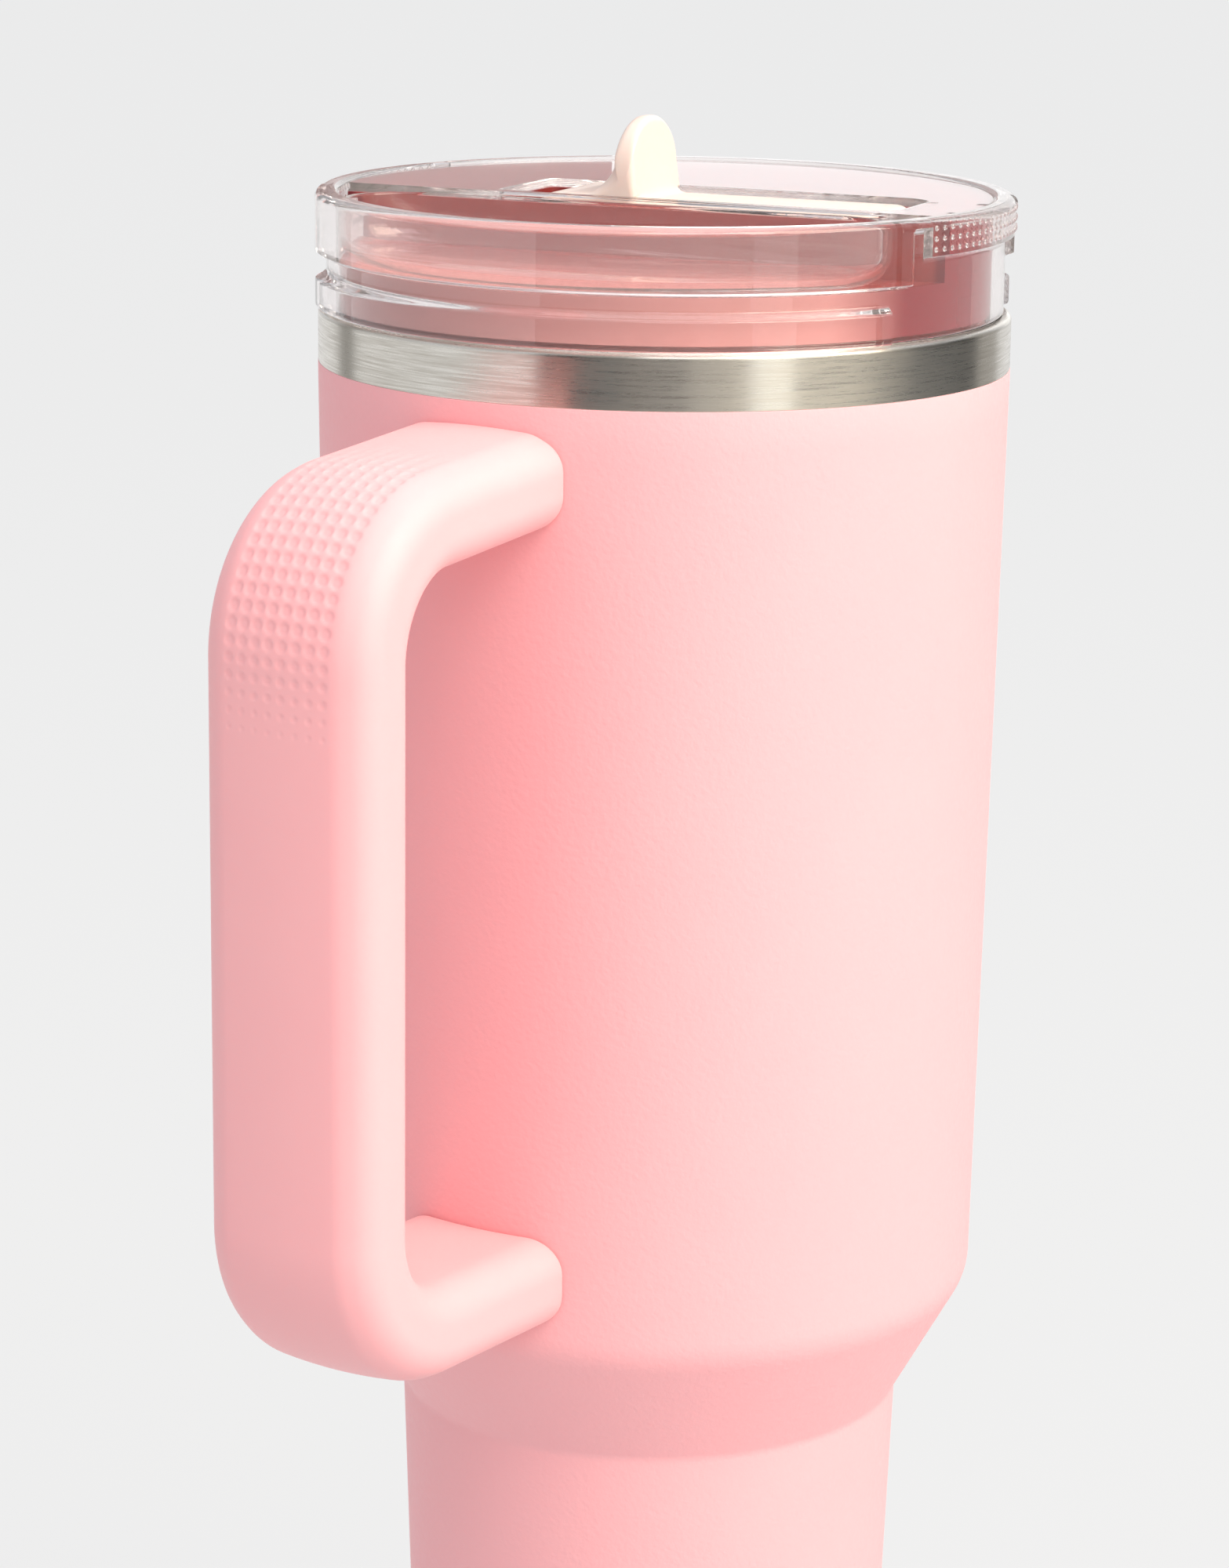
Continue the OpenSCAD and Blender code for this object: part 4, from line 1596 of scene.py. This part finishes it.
@dataclass
class Spout:
    """The flip spout: a flat bar with a mouth at one end, a thumb tab and a hinge hub.

    Attributes:
        stand: where the lid stands.
        half_w: half the bar's width.
        mouth_y: the mouth end.
        hinge_y: the hinge.
        hinge_z: height of the hinge.
        hub_r: the hub's radius.
        bar_top: height of the bar's top.
        bar_t: the bar's thickness.
        tab_top: height of the tab's top.
        mouth_r: radius of the drinking passage.
        nose_r: radius of the mouth end's corners in plan.
        tab_r: radius of the tab's arch.
        tab_mid_z: height of the arch's centre.
        hollow_r: radius of the hollow behind the tab.
    """

    stand: LidFrame
    half_w: float = 8.5
    mouth_y: float = -36.3
    hinge_y: float = 13.5
    hinge_z: float = -7.6
    hub_r: float = 6.35
    bar_top: float = -1.1
    bar_t: float = 7.0
    tab_top: float = 10.3
    mouth_r: float = 2.6
    nose_r: float = 5.6
    tab_r: float = 8.0
    tab_mid_z: float = 2.3
    hollow_r: float = 9.9

    def side_line(self) -> np.ndarray:
        """Gives the bar, tab and hub as seen from the side: a closed line of (y, z).

        The hub is a circle about the hinge, whose top stands out by 0.8 mm to fill the slot's end.

        Returns:
            Points of (y, z), in order.
        """
        low = self.bar_top - self.bar_t
        front = rounded(
            [[0, low], [self.mouth_y, low], [self.mouth_y, self.bar_top], [1.1, self.bar_top],
             [2.0, self.tab_top], [4.7, self.tab_top], [4.75, 8.0]],
            [0, 2.4, 2.4, 1.5, 0.9, 1.25, 0],
        )
        z = np.linspace(7.4, 0.3, 20)
        hollow = np.stack([14.6 - np.sqrt(self.hollow_r**2 - (z - 8) ** 2), z], -1)
        a = np.radians(np.linspace(100, -160, 48))
        r = self.hub_r + 0.8 * smooth((np.degrees(a) - 66) / 16)
        hub = np.stack([self.hinge_y + r * np.cos(a), self.hinge_z + r * np.sin(a)], -1)
        hub = hub[~((a < math.radians(-90)) & (hub[:, 1] > low - 0.3))]
        return divided(np.vstack([front, hollow, hub, [[6.2, low]]]), 1.0, True)

    def build(self) -> None:
        """Builds the spout and dresses its washers.

        The side line is carried across x from -half_w to half_w. At each x the tab's height follows
        its arch, z = tab_mid_z + sqrt(tab_r^2 - (|x| - 0.5)^2), the mouth end follows its round
        plan, and the line moves in by p (1 - sqrt(1 - ((|x| - half_w + p) / p)^2)) to round the
        side edges by p.
        """
        line = self.side_line()
        after, before = np.roll(line, -1, 0), np.roll(line, 1, 0)
        tangent = (after - before) / np.linalg.norm(after - before, axis=1, keepdims=True)
        area = 0.5 * np.sum(line[:, 0] * after[:, 1] - after[:, 0] * line[:, 1])
        inward = np.stack([-tangent[:, 1], tangent[:, 0]], -1) * np.sign(area)
        share = np.linspace(-1, 1, 61)
        x = self.half_w * np.sin(share * np.pi / 2)
        ax = np.abs(x)[:, None]
        is_tab, is_hub = line[:, 1] > self.bar_top + 1.2, line[:, 0] > 6
        edge = np.where(is_tab, 0.85, np.where(is_hub, 0.6, 1.9))[None, :]
        over = np.clip((ax - self.half_w + edge) / edge, 0, 1)
        inset = edge * (1 - np.sqrt(1 - over**2))
        y = line[None, :, 0] + inward[None, :, 0] * inset
        z = line[None, :, 1] + inward[None, :, 1] * inset
        bow = np.maximum(self.tab_r**2 - np.maximum(ax - 0.5, 0) ** 2, 0)
        arch = self.tab_mid_z + np.sqrt(bow)
        tab = (z > self.bar_top + 0.02) & (np.abs(line[None, :, 0] - 5.5) < 5.5)
        tall = (arch - self.bar_top) / (self.tab_top - self.bar_top)
        z = np.where(tab, self.bar_top + (z - self.bar_top) * tall, z)
        flat = self.half_w - self.nose_r
        nose = self.nose_r - np.sqrt(np.maximum(self.nose_r**2 - np.maximum(ax - flat, 0) ** 2, 0))
        y = y + nose * np.clip((self.mouth_y + 18 - y) / 18, 0, 1)
        points = np.stack([np.broadcast_to(x[:, None], y.shape), y, z], -1)
        body = Patch(self.stand.set_down(points), wrap_rows=False, cap_rows=True)
        a = np.arange(40)[:, None] * 2 * np.pi / 40
        r = np.array([0.0, self.mouth_r, self.mouth_r, 0.0])
        run = np.array([self.mouth_y - 3, self.mouth_y - 3, self.hinge_y - 4, self.hinge_y - 4])
        mid = self.bar_top - self.bar_t / 2
        bore = np.stack([r * np.cos(a), np.broadcast_to(run, (40, 4)), mid + r * np.sin(a)], -1)
        piece = bored(
            mesh_piece("flip_spout_bar", [body]), [Patch(self.stand.set_down(bore), wrap_cols=False)]
        )
        place(piece, Body.SPOUT, Finishes.SPOUT, Slot.SPOUT, "flip_spout")
        dress(Finishes.PALE, "hub_washers")


# ---------------------------------------------------------------- studio


@dataclass
class Studio:
    """The plain floor, the soft lights and the camera.

    Attributes:
        azimuth: the camera's direction round the tumbler, degrees.
        distance: the camera's distance from the tumbler's axis.
        height: the camera's height.
        yaw: the camera's turn from the axis, radians.
        pitch: how far it looks down, radians.
        roll: its roll, radians.
        lens: focal length on a 36 mm sensor.
        aim_z: the height that the lights face.
    """

    azimuth: float = -59.3
    distance: float = 0.623607
    height: float = 0.330601
    yaw: float = -0.0102
    pitch: float = 0.2396
    roll: float = 0.0124
    lens: float = 99.677
    aim_z: float = 0.17

    def spin(self, v: Sequence[float]) -> np.ndarray:
        """Turns a vector given as (right, away, up) from the camera's side into the part's frame.

        Args:
            v: right, away and up, metres.

        Returns:
            The vector in the part's frame.
        """
        a = math.radians(self.azimuth)
        return np.array(
            [v[0] * math.cos(a) - v[1] * math.sin(a), v[0] * math.sin(a) + v[1] * math.cos(a), v[2]]
        )

    def camera(self) -> None:
        """Stands the camera."""
        ahead = np.array(
            [
                math.sin(self.yaw) * math.cos(self.pitch),
                math.cos(self.yaw) * math.cos(self.pitch),
                -math.sin(self.pitch),
            ]
        )
        right = np.array([math.cos(self.yaw), -math.sin(self.yaw), 0])
        up = np.cross(right, ahead)
        x = right * math.cos(self.roll) + up * math.sin(self.roll)
        y = -right * math.sin(self.roll) + up * math.cos(self.roll)
        data = bpy.data.cameras.new("camera")
        data.lens, data.sensor_width, data.clip_start = self.lens, 36.0, 0.01
        stand = bpy.data.objects.new("camera", data)
        columns = [self.spin(x), self.spin(y), self.spin(-ahead)]
        turn = Matrix([Vector(c) for c in columns]).transposed().to_4x4()
        turn.translation = Vector(self.spin([0, -self.distance, self.height]))
        stand.matrix_world = turn
        bpy.context.scene.collection.objects.link(stand)
        bpy.context.scene.camera = stand

    def panel(
        self, name: str, at: Sequence[float], size: tuple[float, float], power: float, hue: str
    ) -> None:
        """Adds a soft rectangular light that faces the tumbler.

        Args:
            name: its name.
            at: its place as (right, away, up) from the tumbler's axis, metres.
            size: its width and height.
            power: its power.
            hue: its colour, sRGB hex.
        """
        data = bpy.data.lights.new(name, "AREA")
        data.shape, data.size, data.size_y = "RECTANGLE", *size
        data.energy, data.color = power, linear(hue)[:3]
        light = bpy.data.objects.new(name, data)
        light.location = Vector(self.spin(at))
        aim = Vector((0, 0, self.aim_z)) - light.location
        light.rotation_euler = aim.to_track_quat("-Z", "Y").to_euler()
        bpy.context.scene.collection.objects.link(light)

    def card(
        self,
        name: str,
        turn: tuple[float, float],
        far: float,
        rise: tuple[float, float],
        glow: float,
        hue: str,
    ) -> None:
        """Adds a curved studio card that only reflections see.

        A point at (u, v) lies at distance far, at angle u round the tumbler and height v.

        Args:
            name: its name.
            turn: the angles it covers from the camera's side, degrees to the right.
            far: its distance.
            rise: its lowest and highest heights.
            glow: how bright it is.
            hue: its colour, sRGB hex.
        """
        a = np.radians(np.linspace(*turn, 16))[:, None]
        z = np.linspace(*rise, 2)[None, :]
        local = np.stack([far * np.sin(a) + 0 * z, -far * np.cos(a) + 0 * z, z + 0 * a], -1)
        b = math.radians(self.azimuth)
        spin = np.array([[math.cos(b), -math.sin(b), 0], [math.sin(b), math.cos(b), 0], [0, 0, 1]])
        piece = mesh_piece(name, [Patch(local @ spin.T / MM, False, False)])
        light = {"Color": linear(hue), "Strength": glow}
        paint = node_material(name, lambda tree: add_node(tree, "Emission", inputs=light))
        piece.data.materials.append(paint)
        for ray in ("camera", "diffuse", "transmission", "shadow", "volume_scatter"):
            setattr(piece, "visible_" + ray, False)

    def floor(self) -> None:
        """Lays the pale floor: a wide disc, matt, with a soft glow that keeps it even."""
        r = np.array([0.0, 0.3, 1.0, 3.0, 9.0, 30.0]) / MM
        line = np.stack([r, np.full(6, -0.02)], -1)
        piece = mesh_piece("floor", [Patch(revolve(line, 64), wrap_cols=False)])
        if piece.data.polygons[0].normal.z < 0:
            piece.data.flip_normals()
        piece.data.materials.append(node_material("studio_floor_matt", self.floor_paint))

    def floor_paint(self, tree: bpy.types.NodeTree) -> bpy.types.Node:
        """Adds the floor's shader: a dark matt ground that takes shade, and a pale glow over it.

        Args:
            tree: the node tree it goes into.

        Returns:
            The shader node.
        """
        matt = add_node(tree, "BsdfDiffuse", inputs={"Color": linear("404040")})
        glow = add_node(tree, "Emission", inputs={"Color": linear("ECECEC"), "Strength": 0.95})
        return add_node(tree, "AddShader", inputs={0: matt.outputs[0], 1: glow.outputs[0]})

    def sky(self) -> None:
        """Fills the room with an even white."""
        world = bpy.data.worlds.new("studio")
        world.use_nodes = True
        world.node_tree.nodes.clear()
        back = add_node(
            world.node_tree, "Background", inputs={"Color": linear("F5F7FC"), "Strength": 0.7}
        )
        out = add_node(world.node_tree, "OutputWorld")
        world.node_tree.links.new(back.outputs[0], out.inputs["Surface"])
        bpy.context.scene.world = world

    def build(self) -> None:
        """Sets up floor, lights, cards and camera."""
        self.floor()
        self.sky()
        self.camera()
        self.panel("key_right", (0.97, -0.64, 1.03), (1.1, 1.3), 28.0, "FFF5E2")
        self.panel("front_high", (0.25, -0.9, 1.0), (0.8, 0.6), 3.4, "FFFFFF")
        self.panel("top", (0.1, 0.1, 1.3), (1.0, 1.0), 4.0, "FFFFFF")
        low, high, near, far = -0.01, 0.6, 0.6, 0.75
        for name, turn, at, glow, hue in (
            ("card_camera_side", (-40, -13), near, 0.0, "FFE0C8"),
            ("card_front", (-13, 8), near, 0.07, "FFD0B0"),
            ("card_front_right", (8, 27), near, 0.3, "FFF0DE"),
            ("card_softbox", (29, 41), near, 0.95, "FFFDF6"),
            ("card_right_front", (41, 85), far, 0.07, "FFF4E4"),
            ("card_right", (85, 122), far, 0.02, "FFFBF5"),
            ("card_right_back", (122, 140), far, 0.4, "FFFBF5"),
            ("card_left_back", (-132, -120), far, 0.25, "FFFBF5"),
        ):
            self.card(name, turn, at, (low, high), glow, hue)
        self.card("card_back_right", (152, 181), 1.6, (0.25, 1.3), 1.2, "FFFFFF")
        self.card("card_back_left", (181, 200), 1.6, (0.25, 1.3), 0.5, "FFDCD8")
        scene = bpy.context.scene
        scene.view_settings.view_transform = "Standard"
        scene.view_settings.look = "None"
        # Light crosses the clear lid's many walls before it leaves
        scene.cycles.max_bounces, scene.cycles.glossy_bounces = 24, 16
        scene.cycles.transmission_bounces = 24


def main() -> None:
    """Builds the tumbler and its studio, in order."""
    logging.basicConfig(level=logging.INFO, format="%(name)s: %(message)s")
    vessel = Vessel()
    vessel.build()
    Handle(vessel).build()
    stand = LidFrame()
    Lid(stand).build()
    Spout(stand).build()
    Studio().build()


if __name__ == "__main__":
    main()
